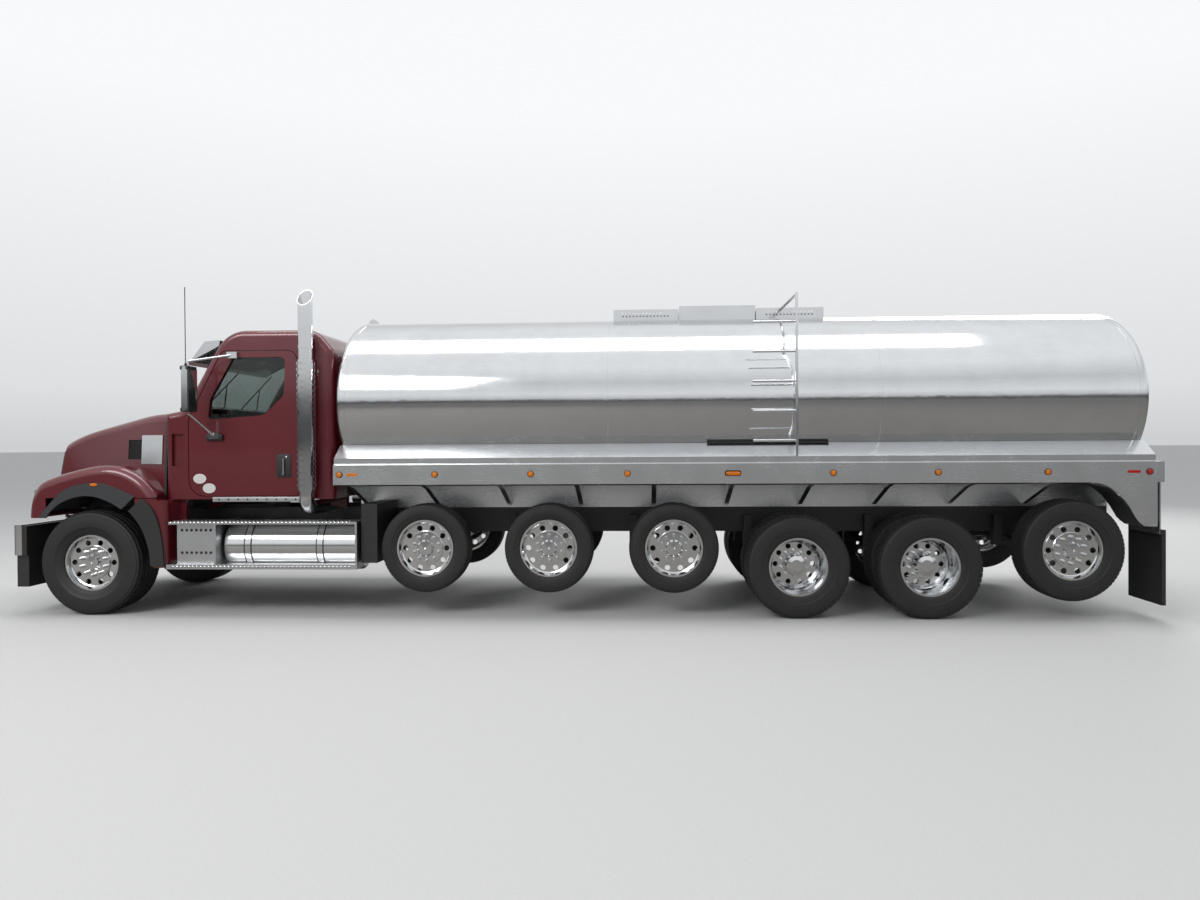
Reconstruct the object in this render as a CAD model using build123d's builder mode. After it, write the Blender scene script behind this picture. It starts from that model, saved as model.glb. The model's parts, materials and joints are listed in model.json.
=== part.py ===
"""Seven axle tanker truck, in millimetres.

+X runs to the rear, +Y to the vehicle's right and +Z up. The origin is on the
ground, on the centre plane, half way along the vehicle. Both front corners and
both sides are alike, so most pieces are drawn on the left side (-Y) or across
the centre plane and mirrored.
"""

import os
from math import cos, radians, sin, sqrt

from build123d import *

# Driving dimensions of the whole vehicle
OVERALL_LENGTH = 11945.0
FRONT_OVERHANG = 865.0
BODY_HALF_WIDTH = 1292.0
RUNNING_CLEARANCE = 0.5
SEAT_CLEARANCE = 0.3
PANEL_GAP = 8.0

STEER_X = FRONT_OVERHANG - OVERALL_LENGTH / 2
REAR_X = OVERALL_LENGTH / 2

# Axles: the run from the first lift axle to the tag axle, and each axle's share of it
REAR_STATION = OVERALL_LENGTH - FRONT_OVERHANG
FIRST_LIFT = 3600.0
TAG_STATION = REAR_STATION - 915.0
AXLE_RUN = TAG_STATION - FIRST_LIFT
LIFT_STATIONS = {
    "lift1": FIRST_LIFT,
    "lift2": FIRST_LIFT + 0.198 * AXLE_RUN,
    "lift3": FIRST_LIFT + 0.396 * AXLE_RUN,
}
DRIVE_STATIONS = {
    "drive1": FIRST_LIFT + 0.588 * AXLE_RUN,
    "drive2": FIRST_LIFT + 0.789 * AXLE_RUN,
}

# Wheels: tyre radius, tyre width, rim width, rim face plane, hub height
STEER_TYRE = {"radius": 558.0, "width": 420.0, "rim": 336.0, "face": 1190.0, "height": 558.0}
LIFT_TYRE = {"radius": 466.0, "width": 256.0, "rim": 236.0, "face": 1172.0, "height": 712.0}
TAG_TYRE = {"radius": 511.0, "width": 296.0, "rim": 242.0, "face": 1244.0, "height": 700.0}
DRIVE_TYRE = {"radius": 527.0, "width": 280.0, "rim": 236.0, "face": 1222.0, "height": 527.0}
DUAL_SPACING = 343.0
RIM_FLANGE_RADIUS = 298.0
RIM_SEAT_RADIUS = 284.0
RIM_WALL = 11.0
DISC_THICKNESS = 24.0
HUB_RADIUS = 112.0
HUB_COVER_RADIUS = 178.0
SPINDLE_RADIUS = 45.0

# Steering
KINGPIN_HALF_TRACK = 885.0
KINGPIN_RADIUS = 24.0
KNUCKLE_GAP = 6.0

# Ladder frame
RAIL_HALF_WIDTH = 430.0
RAIL_DEPTH = 272.0
RAIL_FLANGE = 88.0
RAIL_WALL = 10.0
FRAME_TOP = 1085.0
FRAME_FRONT = -660.0
FRAME_REAR = REAR_STATION - 150.0
CROSSMEMBER_STATIONS = [1900.0, 3080.0, FRAME_REAR - 60.0]
CROSSMEMBER_STATIONS += [FIRST_LIFT + share * AXLE_RUN for share in (0.1, 0.296, 0.484, 0.688, 0.893)]
CROSSMEMBER_DEPTH = 180.0
CROSSMEMBER_WIDTH = 80.0
TOW_EYE_BORE = 20.0
TOW_EYE_Y = 300.0
TOW_EYE_Z = 780.0
TOW_EYE_WIDTH = 40.0
BUMPER_SHEET = 8.0

# Hood hinge: arms on the frame's horns, pins, lugs under the hood's nose
HINGE_X = -800.0
HINGE_Z = 995.0
HINGE_PIN = 8.0
HINGE_POST_X = (-750.0, -720.0)
HINGE_ARM_Y = (415.0, 435.0)
HINGE_LUG_Y = (440.0, 460.0)

# Tank
TANK_FRONT = 2655.0
TANK_REAR = REAR_STATION - 126.0
TANK_HALF_WIDTH = BODY_HALF_WIDTH - 92.0
TANK_HALF_HEIGHT = 968.0
TANK_Z = 2252.0
TANK_KNUCKLE = 70.0

# Outlet under the tank's rear end, with a clamp ferrule
OUTLET_STATION = TANK_REAR - 174.0
OUTLET_END = TANK_REAR + 66.0
OUTLET_Z = 1190.0
OUTLET_RADIUS = 38.0
FERRULE_RADIUS = 45.5
FERRULE_LENGTH = 30.0

# Body rails and sub-frame
BODY_FRONT = 2670.0
BODY_REAR = TANK_REAR
BODY_RAIL_LOW = 1385.0
BODY_RAIL_HIGH = 1590.0
SKIRT_HIGH = 1800.0
SHEET = 6.0
SILL_INNER = 360.0
SILL_WIDTH = 70.0
BEARER_COUNT = 11
BEARER_ENDS = (BODY_FRONT + 90.0, BODY_REAR - 94.0)
BEARER_THICKNESS = 50.0

# Cab
CAB_HALF_WIDTH = 1050.0
CAB_FRONT = 735.0
CAB_REAR = 2590.0
CAB_FLOOR = 1225.0
CAB_WALL = 60.0
ROOF_EDGE_RADIUS = 70.0
COWL_TOP = 2150.0
CAB_MOUNT_STATIONS = [900.0, 2380.0]
ROOF_SEAM_Z = 2900.0
COWL_SEAM_Z = 2090.0
DOOR_REAR = 2195.0
DOOR_FRONT = 1002.0
DOOR_TOP = 2815.0
DOOR_BOTTOM = 1262.0
GLASS_THICKNESS = 6.0

# Hood
HOOD_REAR = CAB_FRONT - 14.0
HOOD_WALL = 24.0
HOOD_LOW = 1000.0
FENDER_HALF_WIDTH = 1225.0
ARCH_X = -30.0
ARCH_Z = 655.0
ARCH_RADIUS = 640.0
FENDER_CROWN = 95.0
GRILLE_HALF_WIDTH = 400.0
GRILLE_BARS = 7

# Exhaust stacks
STACK_X = 2333.0
STACK_Y = 1150.0
STACK_RADIUS = 77.0
STACK_WALL = 3.0
STACK_TOP = 3465.0
ELBOW_Z = 1130.0
ELBOW_RADIUS = 130.0
GUARD_GAP = 9.0
GUARD_WALL = 3.0
GUARD_LOW = 1310.0
GUARD_HIGH = 2700.0

# Side gear between the wheels
STEP_FRONT = 880.0
STEP_REAR = 2840.0
STEP_OUTER = 1250.0
FUEL_TANK_RADIUS = 268.0
FUEL_TANK_Y = 868.0
FUEL_TANK_Z = 722.0
FUEL_TANK_FRONT = 1410.0
FUEL_TANK_REAR = 2870.0

# Ladder and top boxes
LADDER_FRONT = BODY_FRONT + 0.523 * (BODY_REAR - BODY_FRONT)
LADDER_REAR = LADDER_FRONT + 440.0
LADDER_TUBE = 15.0
RUNG_PITCH = 300.0
BOX_HALF_WIDTH = 330.0
BOX_HEIGHT = 110.0
BOX_TOP = TANK_Z + TANK_HALF_HEIGHT + BOX_HEIGHT
BOX_WALL = 14.0
LID_THICKNESS = 12.0

os.makedirs("parts", exist_ok=True)


def along(distance):
    """X of a station measured rearward from the steer axle."""
    return STEER_X + distance


def cross_plane(x):
    """Plane across the vehicle, with local axes Y and Z, facing the rear."""
    return Plane(origin=(x, 0, 0), x_dir=(0, 1, 0), z_dir=(1, 0, 0))


def side_plane(y):
    """Plane along the vehicle, with local axes X and Z, facing the left."""
    return Plane(origin=(0, y, 0), x_dir=(1, 0, 0), z_dir=(0, -1, 0))


def tank_surface(y, clearance=0.0):
    """Height of the tank's jacket above or below its axis at a lateral place."""
    half_width = TANK_HALF_WIDTH + clearance
    return (TANK_HALF_HEIGHT + clearance) * sqrt(1 - (y / half_width) ** 2)


def slab(x_range, y_range, z_range, mode=Mode.ADD):
    """Box between three pairs of limits, in the part that is being built."""
    with BuildSketch(Plane.XY.offset(z_range[0])) as outline:
        with Locations(((x_range[0] + x_range[1]) / 2, (y_range[0] + y_range[1]) / 2)):
            Rectangle(abs(x_range[1] - x_range[0]), abs(y_range[1] - y_range[0]))
    extrude(outline.sketch, amount=z_range[1] - z_range[0], mode=mode)


def across(points, y_low, y_high, mode=Mode.ADD):
    """Side view outline (X from the steer axle, Z) carried across the vehicle."""
    with BuildSketch(side_plane(y_high)) as outline:
        with BuildLine():
            Polyline([(along(x), z) for x, z in points], close=True)
        make_face()
    extrude(outline.sketch, amount=y_high - y_low, mode=mode)


def lengthwise(points, x_low, x_high, mode=Mode.ADD):
    """Cross section (Y, Z) carried along the vehicle."""
    with BuildSketch(cross_plane(x_low)) as outline:
        with BuildLine():
            Polyline(points, close=True)
        make_face()
    extrude(outline.sketch, amount=x_high - x_low, mode=mode)


def rod(start, end, radius, mode=Mode.ADD):
    """Round bar between two points."""
    run = Vector(*end) - Vector(*start)
    with BuildSketch(Plane(origin=start, z_dir=run)) as outline:
        Circle(radius)
    extrude(outline.sketch, amount=run.length, mode=mode)


def wheel_plane(station, y, height, side):
    """Half section plane of a wheel: local x outboard along its axle, local y up."""
    origin = (along(station), side * y, height)
    return Plane(origin=origin, x_dir=(0, side, 0), z_dir=(side, 0, 0))


def turn_wheel(plane, points):
    """Turns a half section (distance outboard, radius) about the axle."""
    with BuildSketch(plane) as half_section:
        with BuildLine():
            Polyline(points, close=True)
        make_face()
    revolve(half_section.sketch, axis=Axis(plane.origin, plane.x_dir))


def tyre_section(size, centre=0.0):
    """Tyre with straight flanks, seated on the rim flanges."""
    bore = RIM_FLANGE_RADIUS + SEAT_CLEARANCE
    bead = size["rim"] / 2
    belly = size["width"] / 2
    belly_radius = bore + 0.48 * (size["radius"] - bore)
    tread = belly - 0.11 * size["width"]
    flank = [(bead, bore), (belly, belly_radius), (tread, size["radius"])]
    left = [(-w, r) for w, r in flank]
    return [(centre + w, r) for w, r in flank + left[::-1]]


def rim_barrel(size, centre=0.0):
    """Outer half of a rim's section, from the inboard flange to the outboard one."""
    half = size["rim"] / 2
    flange = RIM_FLANGE_RADIUS
    seat = RIM_SEAT_RADIUS
    lip = 14.0
    outline = [(-half, flange), (-half + lip, flange), (-half + lip, seat)]
    outline += [(half - lip, seat), (half - lip, flange), (half, flange)]
    return [(centre + w, r) for w, r in outline]


# Ladder frame: two channel rails, front horns with tow pin bores, crossmembers
with BuildPart() as frame_rails:
    web_inner = RAIL_HALF_WIDTH - RAIL_WALL
    flange_inner = RAIL_HALF_WIDTH - RAIL_FLANGE
    frame_low = FRAME_TOP - RAIL_DEPTH
    channel = [
        (RAIL_HALF_WIDTH, frame_low),
        (RAIL_HALF_WIDTH, FRAME_TOP),
        (flange_inner, FRAME_TOP),
        (flange_inner, FRAME_TOP - RAIL_WALL),
        (web_inner, FRAME_TOP - RAIL_WALL),
        (web_inner, frame_low + RAIL_WALL),
        (flange_inner, frame_low + RAIL_WALL),
        (flange_inner, frame_low),
    ]
    lengthwise(channel, along(FRAME_FRONT), along(FRAME_REAR))
    mirror(about=Plane.XZ)
    for station in CROSSMEMBER_STATIONS:
        centre = along(station)
        limits = (centre - CROSSMEMBER_WIDTH / 2, centre + CROSSMEMBER_WIDTH / 2)
        middle = FRAME_TOP - RAIL_DEPTH / 2
        half_depth = CROSSMEMBER_DEPTH / 2
        slab(limits, (-web_inner, web_inner), (middle - half_depth, middle + half_depth))
    front_beam = (along(FRAME_FRONT), along(FRAME_FRONT) + CROSSMEMBER_WIDTH)
    slab(front_beam, (-web_inner, web_inner), (frame_low, frame_low + CROSSMEMBER_DEPTH / 2))
    for side in (-1, 1):
        pin_y = side * (RAIL_HALF_WIDTH - RAIL_WALL / 2)
        bumper_inside = along(-FRONT_OVERHANG) + BUMPER_SHEET + SEAT_CLEARANCE
        horn_z = (frame_low - 70, frame_low + 60)
        slab((bumper_inside, along(FRAME_FRONT) + 80), (pin_y - 20, pin_y + 20), horn_z)
        arm_y = sorted((side * HINGE_ARM_Y[0], side * HINGE_ARM_Y[1]))
        slab((along(HINGE_POST_X[0]), along(HINGE_POST_X[1])), arm_y, (horn_z[1] - 10, HINGE_Z + 10))
        slab((along(HINGE_X) - 11, along(HINGE_POST_X[1])), arm_y, (HINGE_Z - 12, HINGE_Z + 10))
        pin_start = (along(HINGE_X), side * HINGE_ARM_Y[0], HINGE_Z)
        rod(pin_start, (along(HINGE_X), side * (HINGE_LUG_Y[1] + 5), HINGE_Z), HINGE_PIN)
        eye_y = side * TOW_EYE_Y
        eye_x = (along(FRAME_REAR) - 60, along(FRAME_REAR) + 80)
        eye_sides = (eye_y - TOW_EYE_WIDTH / 2, eye_y + TOW_EYE_WIDTH / 2)
        slab(eye_x, eye_sides, (TOW_EYE_Z - 60, TOW_EYE_Z + 160))
        bore_x = eye_x[1] - 50
        bore_ends = (eye_y - TOW_EYE_WIDTH, eye_y + TOW_EYE_WIDTH)
        bore_start = (bore_x, bore_ends[0], TOW_EYE_Z)
        rod(bore_start, (bore_x, bore_ends[1], TOW_EYE_Z), TOW_EYE_BORE, mode=Mode.SUBTRACT)
frame_rails.part.label = "frame_rails"
export_step(frame_rails.part, "parts/frame_rails.step")

# Front bumper: a bright channel across the whole width
BUMPER_FRONT = -FRONT_OVERHANG
BUMPER_DEPTH = 110.0
BUMPER_LOW = 640.0
BUMPER_HIGH = 965.0
BUMPER_HALF_WIDTH = 1215.0
with BuildPart() as bumper:
    limits = (along(BUMPER_FRONT), along(BUMPER_FRONT) + BUMPER_DEPTH)
    slab(limits, (-BUMPER_HALF_WIDTH, BUMPER_HALF_WIDTH), (BUMPER_LOW, BUMPER_HIGH))
    corners = bumper.edges().filter_by(Axis.Z).group_by(Axis.X)[0]
    fillet(corners, 60)
    inner_limits = (limits[0] + BUMPER_SHEET, limits[1] + 1)
    inner_y = BUMPER_HALF_WIDTH - BUMPER_SHEET
    inner_z = (BUMPER_LOW + BUMPER_SHEET, BUMPER_HIGH - BUMPER_SHEET)
    slab(inner_limits, (-inner_y, inner_y), inner_z, mode=Mode.SUBTRACT)
bumper.part.label = "bumper"
export_step(bumper.part, "parts/bumper.step")

# Black plastics: bumper ends behind the bright channel, air dam, fixed rear flares
PLASTIC_REAR = -700.0
DAM_LOW = 300.0
CABINET_X = (2925.0, 3095.0)
CABINET_Z = (560.0, 1180.0)
CABINET_OUTER = 1180.0
# Columns of the flares' edges: X from the steer axle, Z
FLARE_PROUD = 22.0
FLARE_OUTER = [(-545.0, 1042.0), (-420.0, 1195.0), (-300.0, 1310.0), (-199.0, 1367.0), (-7.0, 1411.0)]
FLARE_OUTER += [(130.0, 1410.0), (292.0, 1362.0), (509.0, 1268.0)]
FLARE_INNER = [(365.0, 1134.0), (182.0, 1234.0), (19.0, 1274.0), (-145.0, 1261.0)]
FLARE_INNER += [(-310.0, 1195.0), (-465.0, 1042.0)]
REAR_FLARE_OUTER = [(590.0, 1246.0), (724.0, 1087.0), (790.0, 877.0), (820.0, 614.0), (824.0, 530.0)]
REAR_FLARE_INNER = [(676.0, 530.0), (650.0, 745.0), (568.0, 956.0), (439.0, 1114.0)]


def flare_band(outer, inner):
    """Flare on the left side, between its outer and inner edges in side view."""
    start = (along(0), -FENDER_HALF_WIDTH - SEAT_CLEARANCE, 0)
    plane = Plane(origin=start, x_dir=(1, 0, 0), z_dir=(0, -1, 0))
    with BuildSketch(plane) as outline:
        with BuildLine():
            Spline(outer)
            Line(outer[-1], inner[0])
            Spline(inner)
            Line(inner[-1], outer[0])
        make_face()
    extrude(outline.sketch, amount=FLARE_PROUD - SEAT_CLEARANCE)


with BuildPart() as rear_flares:
    flare_band(REAR_FLARE_OUTER, REAR_FLARE_INNER)
    mirror(about=Plane.XZ)
with BuildPart() as lower_plastics:
    block_front = BUMPER_FRONT + BUMPER_DEPTH + SEAT_CLEARANCE
    slab(
        (along(block_front), along(PLASTIC_REAR)),
        (-BUMPER_HALF_WIDTH, BUMPER_HALF_WIDTH),
        (BUMPER_LOW, BUMPER_HIGH - 10),
    )
    slab(
        (along(BUMPER_FRONT + 35), along(PLASTIC_REAR)),
        (-BUMPER_HALF_WIDTH + 30, BUMPER_HALF_WIDTH - 30),
        (DAM_LOW, BUMPER_LOW - SEAT_CLEARANCE),
    )
    slab(
        (along(PLASTIC_REAR) - 90, along(PLASTIC_REAR) + 1),
        (-RAIL_HALF_WIDTH - 60, RAIL_HALF_WIDTH + 60),
        (BUMPER_LOW - 20, BUMPER_HIGH + 10),
        mode=Mode.SUBTRACT,
    )
    add(rear_flares.part)
    for side in (-1, 1):
        cabinet_y = sorted((side * (RAIL_HALF_WIDTH + SEAT_CLEARANCE), side * CABINET_OUTER))
        slab((along(CABINET_X[0]), along(CABINET_X[1])), cabinet_y, CABINET_Z)
lower_plastics.part.label = "lower_plastics"
export_step(lower_plastics.part, "parts/lower_plastics.step")

# Engine as one plain block, with its gearbox, and the radiator in front of it
ENGINE_HALF_WIDTH = 325.0
ENGINE_FOOT_LOW = 900.0
with BuildPart() as engine:
    block_x = (along(-330), along(640))
    slab(block_x, (-ENGINE_HALF_WIDTH, ENGINE_HALF_WIDTH), (720, 1700))
    slab((block_x[1] + SEAT_CLEARANCE, along(1560)), (-230, 230), (740, 1110))
    for side in (-1, 1):
        foot_ends = (ENGINE_HALF_WIDTH + SEAT_CLEARANCE, RAIL_HALF_WIDTH - RAIL_WALL - SEAT_CLEARANCE)
        foot_y = sorted((side * foot_ends[0], side * foot_ends[1]))
        slab((along(80), along(200)), foot_y, (ENGINE_FOOT_LOW, ENGINE_FOOT_LOW + 80))
    slab((along(-600), along(-480)), (-410, 410), (FRAME_TOP + SEAT_CLEARANCE, 1780))
engine.part.label = "engine"
export_step(engine.part, "parts/engine.step")

# Axle beams: steer beam with kingpin eyes, lift and tag beams, drive housings
STEER_BEAM_Z = 470.0
EYE_RADIUS = 48.0
EYE_HALF_HEIGHT = 55.0
BEAM_TUBE = 62.0
BEAM_DROP = 70.0
HOUSING_TUBE = 80.0
ARM_OUTER = 510.0
ARM_DEPTH = 50.0
HANGER_LENGTH = 90.0
HANGER_FRONT = 470.0
HANGER_HIGH = 1000.0
AIR_SPRING_RADIUS = 105.0
AIR_SPRING_Y = 560.0
BRACKET_THICKNESS = 20.0


def rail_hanger(station, front, low, high):
    """Bracket on the outside of each rail ahead of an axle."""
    for side in (-1, 1):
        y_range = (side * (RAIL_HALF_WIDTH + SEAT_CLEARANCE), side * ARM_OUTER)
        slab((along(station) - front, along(station) - front + HANGER_LENGTH), y_range, (low, high))


def trailing_arms(station, front, rear, level):
    """Arm under each rail, from its hanger back over the axle."""
    for side in (-1, 1):
        y_range = (side * (RAIL_HALF_WIDTH + SEAT_CLEARANCE), side * ARM_OUTER)
        slab((along(station) - front, along(station) + rear), y_range, (level, level + ARM_DEPTH))


with BuildPart() as axles:
    steer_x = along(0)
    eye_z = STEER_TYRE["height"]
    slab(
        (steer_x - 45, steer_x + 45),
        (-KINGPIN_HALF_TRACK + 60, KINGPIN_HALF_TRACK - 60),
        (STEER_BEAM_Z - 50, STEER_BEAM_Z + 50),
    )
    for side in (-1, 1):
        y = side * KINGPIN_HALF_TRACK
        slab((steer_x - 45, steer_x + 45), (side * 760, y), (STEER_BEAM_Z - 50, eye_z + EYE_HALF_HEIGHT))
        low = (steer_x, y, eye_z - EYE_HALF_HEIGHT)
        high = (steer_x, y, eye_z + EYE_HALF_HEIGHT)
        rod(low, high, EYE_RADIUS)
        below = (steer_x - 60, steer_x + 60)
        slab(below, (side * 800, side * 960), (STEER_BEAM_Z - 60, eye_z - EYE_HALF_HEIGHT), Mode.SUBTRACT)
        rod(low, high, KINGPIN_RADIUS + RUNNING_CLEARANCE, mode=Mode.SUBTRACT)
    for station, size in [(s, LIFT_TYRE) for s in LIFT_STATIONS.values()] + [(TAG_STATION, TAG_TYRE)]:
        inner = size["face"] - 250
        x = along(station)
        z = size["height"]
        path_y = inner - 120
        rod((x, -path_y + 140, z - BEAM_DROP), (x, path_y - 140, z - BEAM_DROP), BEAM_TUBE)
        for side in (-1, 1):
            rod((x, side * (path_y - 160), z - BEAM_DROP), (x, side * (path_y + 10), z), BEAM_TUBE - 4)
            rod((x, side * (path_y - 5), z), (x, side * inner, z), BEAM_TUBE - 9)
            rod((x, side * (inner - 5), z), (x, side * (inner + 160), z), SPINDLE_RADIUS)
    for station in DRIVE_STATIONS.values():
        x = along(station)
        z = DRIVE_TYRE["height"]
        rod((x, -640, z), (x, 640, z), HOUSING_TUBE)
        rod((x, -1005, z), (x, 1005, z), SPINDLE_RADIUS)
        rod((x - 190, 0, z), (x + 150, 0, z), 190)
    # Leaf springs on the steer beam, air springs over the lift beams
    spring_z = STEER_BEAM_Z + 50 + SEAT_CLEARANCE
    for side in (-1, 1):
        y_range = (side * 385 - 45, side * 385 + 45)
        slab((along(-560), along(560)), y_range, (spring_z + 60, spring_z + 90))
        slab((along(-70), along(70)), y_range, (spring_z, spring_z + 60))
        for end in (-540.0, 540.0):
            x_range = (along(end) - 30, along(end) + 30)
            slab(x_range, y_range, (spring_z + 90, frame_low - SEAT_CLEARANCE))
    hung = [(place, LIFT_TYRE["height"]) for place in LIFT_STATIONS.values()]
    hung.append((TAG_STATION, TAG_TYRE["height"]))
    for station, height in hung:
        arm_z = height - BEAM_DROP + BEAM_TUBE - ARM_DEPTH / 2
        trailing_arms(station, HANGER_FRONT, BEAM_TUBE, arm_z)
        rail_hanger(station, HANGER_FRONT, arm_z, HANGER_HIGH)
        for side in (-1, 1):
            y = side * AIR_SPRING_Y
            bracket_y = (side * (RAIL_HALF_WIDTH + SEAT_CLEARANCE), side * (AIR_SPRING_Y + AIR_SPRING_RADIUS))
            bracket_x = (along(station) - AIR_SPRING_RADIUS, along(station) + AIR_SPRING_RADIUS)
            slab(bracket_x, bracket_y, (HANGER_HIGH - BRACKET_THICKNESS, HANGER_HIGH))
            rod((along(station), y, arm_z + 10), (along(station), y, HANGER_HIGH - 5), AIR_SPRING_RADIUS)
    for station in DRIVE_STATIONS.values():
        arm_z = DRIVE_TYRE["height"] + HOUSING_TUBE - ARM_DEPTH / 4
        trailing_arms(station, HANGER_FRONT, 340, arm_z)
        rail_hanger(station, HANGER_FRONT, arm_z, HANGER_HIGH)
        for side in (-1, 1):
            y = side * (RAIL_HALF_WIDTH + ARM_OUTER) / 2
            x = along(station) + 230
            rod((x, y, arm_z + 5), (x, y, frame_low - SEAT_CLEARANCE), AIR_SPRING_RADIUS)
axles.part.label = "axles"
export_step(axles.part, "parts/axles.step")

# Steering knuckles: yoke round the axle's eye, kingpin and spindle
KNUCKLE_NODES = {-1: "knuckle_left", 1: "knuckle_right"}
STEER_HUB_INNER = STEER_TYRE["face"] - 175
for side, name in KNUCKLE_NODES.items():
    y = side * KINGPIN_HALF_TRACK
    eye_z = STEER_TYRE["height"]
    x = along(0)
    reach = EYE_HALF_HEIGHT + KNUCKLE_GAP
    with BuildPart() as knuckle:
        for level in (eye_z - reach - 34, eye_z + reach):
            slab((x - 48, x + 48), (y - side * 42, y + side * 96), (level, level + 34))
        web = (y + side * (EYE_RADIUS + KNUCKLE_GAP), y + side * 96)
        slab((x - 70, x + 70), web, (eye_z - reach - 34, eye_z + reach + 34))
        rod((x, y, eye_z - reach - 10), (x, y, eye_z + reach + 10), KINGPIN_RADIUS)
        rod((x, y + side * 90, eye_z), (x, side * (STEER_HUB_INNER + 100), eye_z), SPINDLE_RADIUS)
    knuckle.part.label = name
    export_step(knuckle.part, f"parts/{name}.step")

# Wheels: a rim with its hub, and a tyre, on each side of each axle
SIDES = {"left": -1, "right": 1}
HAND_HOLES = 10
SINGLE_HOLE = (217.0, 29.0)
DUAL_HOLE = (194.0, 27.0)


def hand_holes(station, height, y_range, pitch_radius, hole_radius):
    """Ring of holes through a wheel's disc."""
    for index in range(HAND_HOLES):
        angle = radians(360 / HAND_HOLES * (index + 0.5))
        x = along(station) + pitch_radius * sin(angle)
        z = height + pitch_radius * cos(angle)
        rod((x, y_range[0], z), (x, y_range[1], z), hole_radius, Mode.SUBTRACT)


def single_rim_section(size):
    """Rim whose disc lies near the outboard face, with hub cover and drum."""
    half = size["rim"] / 2
    face = half
    seat = RIM_SEAT_RADIUS
    wall_radius = seat - RIM_WALL
    disc_out = face - 46
    cover_out = face - 30
    section = rim_barrel(size)
    section += [(half, wall_radius + 6), (disc_out + 6, 262), (disc_out, 250)]
    section += [(disc_out, HUB_COVER_RADIUS + 4), (cover_out, HUB_COVER_RADIUS)]
    section += [(cover_out + 4, 90), (face + 6, 72), (face + 10, 0)]
    bore_end = disc_out - 22
    hub_in = face - 175
    section += [(bore_end, 0), (bore_end, SPINDLE_RADIUS + RUNNING_CLEARANCE)]
    section += [(hub_in, SPINDLE_RADIUS + RUNNING_CLEARANCE), (hub_in, HUB_RADIUS)]
    section += [(disc_out - DISC_THICKNESS - 30, HUB_RADIUS), (disc_out - DISC_THICKNESS, HUB_COVER_RADIUS)]
    section += [(disc_out - DISC_THICKNESS, 240), (disc_out - 50, wall_radius)]
    section += [(-half, wall_radius)]
    return section


def dual_rim_section(size):
    """Two rims bolted disc to disc: deep outboard dish with the hub's dome in it."""
    half = size["rim"] / 2
    shift = DUAL_SPACING / 2
    wall_radius = RIM_SEAT_RADIUS - RIM_WALL
    disc = DISC_THICKNESS
    outer = rim_barrel(size, shift)
    inner = rim_barrel(size, -shift)
    section = inner + outer
    section += [(shift + half, wall_radius + 6), (shift + 10, wall_radius - 12), (disc + 30, 255)]
    section += [(disc, 225), (disc, 125), (disc + 150, 100), (disc + 158, 60), (disc + 158, 0)]
    section += [(disc + 60, 0), (disc + 60, SPINDLE_RADIUS + RUNNING_CLEARANCE)]
    section += [(-100, SPINDLE_RADIUS + RUNNING_CLEARANCE), (-100, HUB_RADIUS)]
    section += [(-disc, 125), (-disc, 225), (-disc - 30, 255), (-shift - 10, wall_radius - 12)]
    section += [(-shift - half, wall_radius)]
    return section


for axle_name, station, size in (
    [("steer", 0.0, STEER_TYRE)]
    + [(name, place, LIFT_TYRE) for name, place in LIFT_STATIONS.items()]
    + [("tag", TAG_STATION, TAG_TYRE)]
):
    for side_name, side in SIDES.items():
        plane = wheel_plane(station, size["face"] - size["rim"] / 2, size["height"], side)
        with BuildPart() as rim:
            turn_wheel(plane, single_rim_section(size))
            disc_y = (side * (size["face"] - 110), side * (size["face"] + 20))
            hand_holes(station, size["height"], disc_y, SINGLE_HOLE[0], SINGLE_HOLE[1])
        rim_name = f"{axle_name}_rim_{side_name}"
        rim.part.label = rim_name
        export_step(rim.part, f"parts/{rim_name}.step")
        with BuildPart() as tyre:
            turn_wheel(plane, tyre_section(size))
        tyre_name = f"{axle_name}_tyre_{side_name}"
        tyre.part.label = tyre_name
        export_step(tyre.part, f"parts/{tyre_name}.step")

for axle_name, station in DRIVE_STATIONS.items():
    for side_name, side in SIDES.items():
        centre = DRIVE_TYRE["face"] - DRIVE_TYRE["rim"] / 2 - DUAL_SPACING / 2
        plane = wheel_plane(station, centre, DRIVE_TYRE["height"], side)
        with BuildPart() as dual_rim:
            turn_wheel(plane, dual_rim_section(DRIVE_TYRE))
            disc_y = (side * (centre - 2 * DISC_THICKNESS), side * (centre + 2 * DISC_THICKNESS))
            hand_holes(station, DRIVE_TYRE["height"], disc_y, DUAL_HOLE[0], DUAL_HOLE[1])
        rim_name = f"{axle_name}_rims_{side_name}"
        dual_rim.part.label = rim_name
        export_step(dual_rim.part, f"parts/{rim_name}.step")
        with BuildPart() as dual_tyres:
            for shift in (-DUAL_SPACING / 2, DUAL_SPACING / 2):
                turn_wheel(plane, tyre_section(DRIVE_TYRE, shift))
        tyre_name = f"{axle_name}_tyres_{side_name}"
        dual_tyres.part.label = tyre_name
        export_step(dual_tyres.part, f"parts/{tyre_name}.step")

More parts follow.
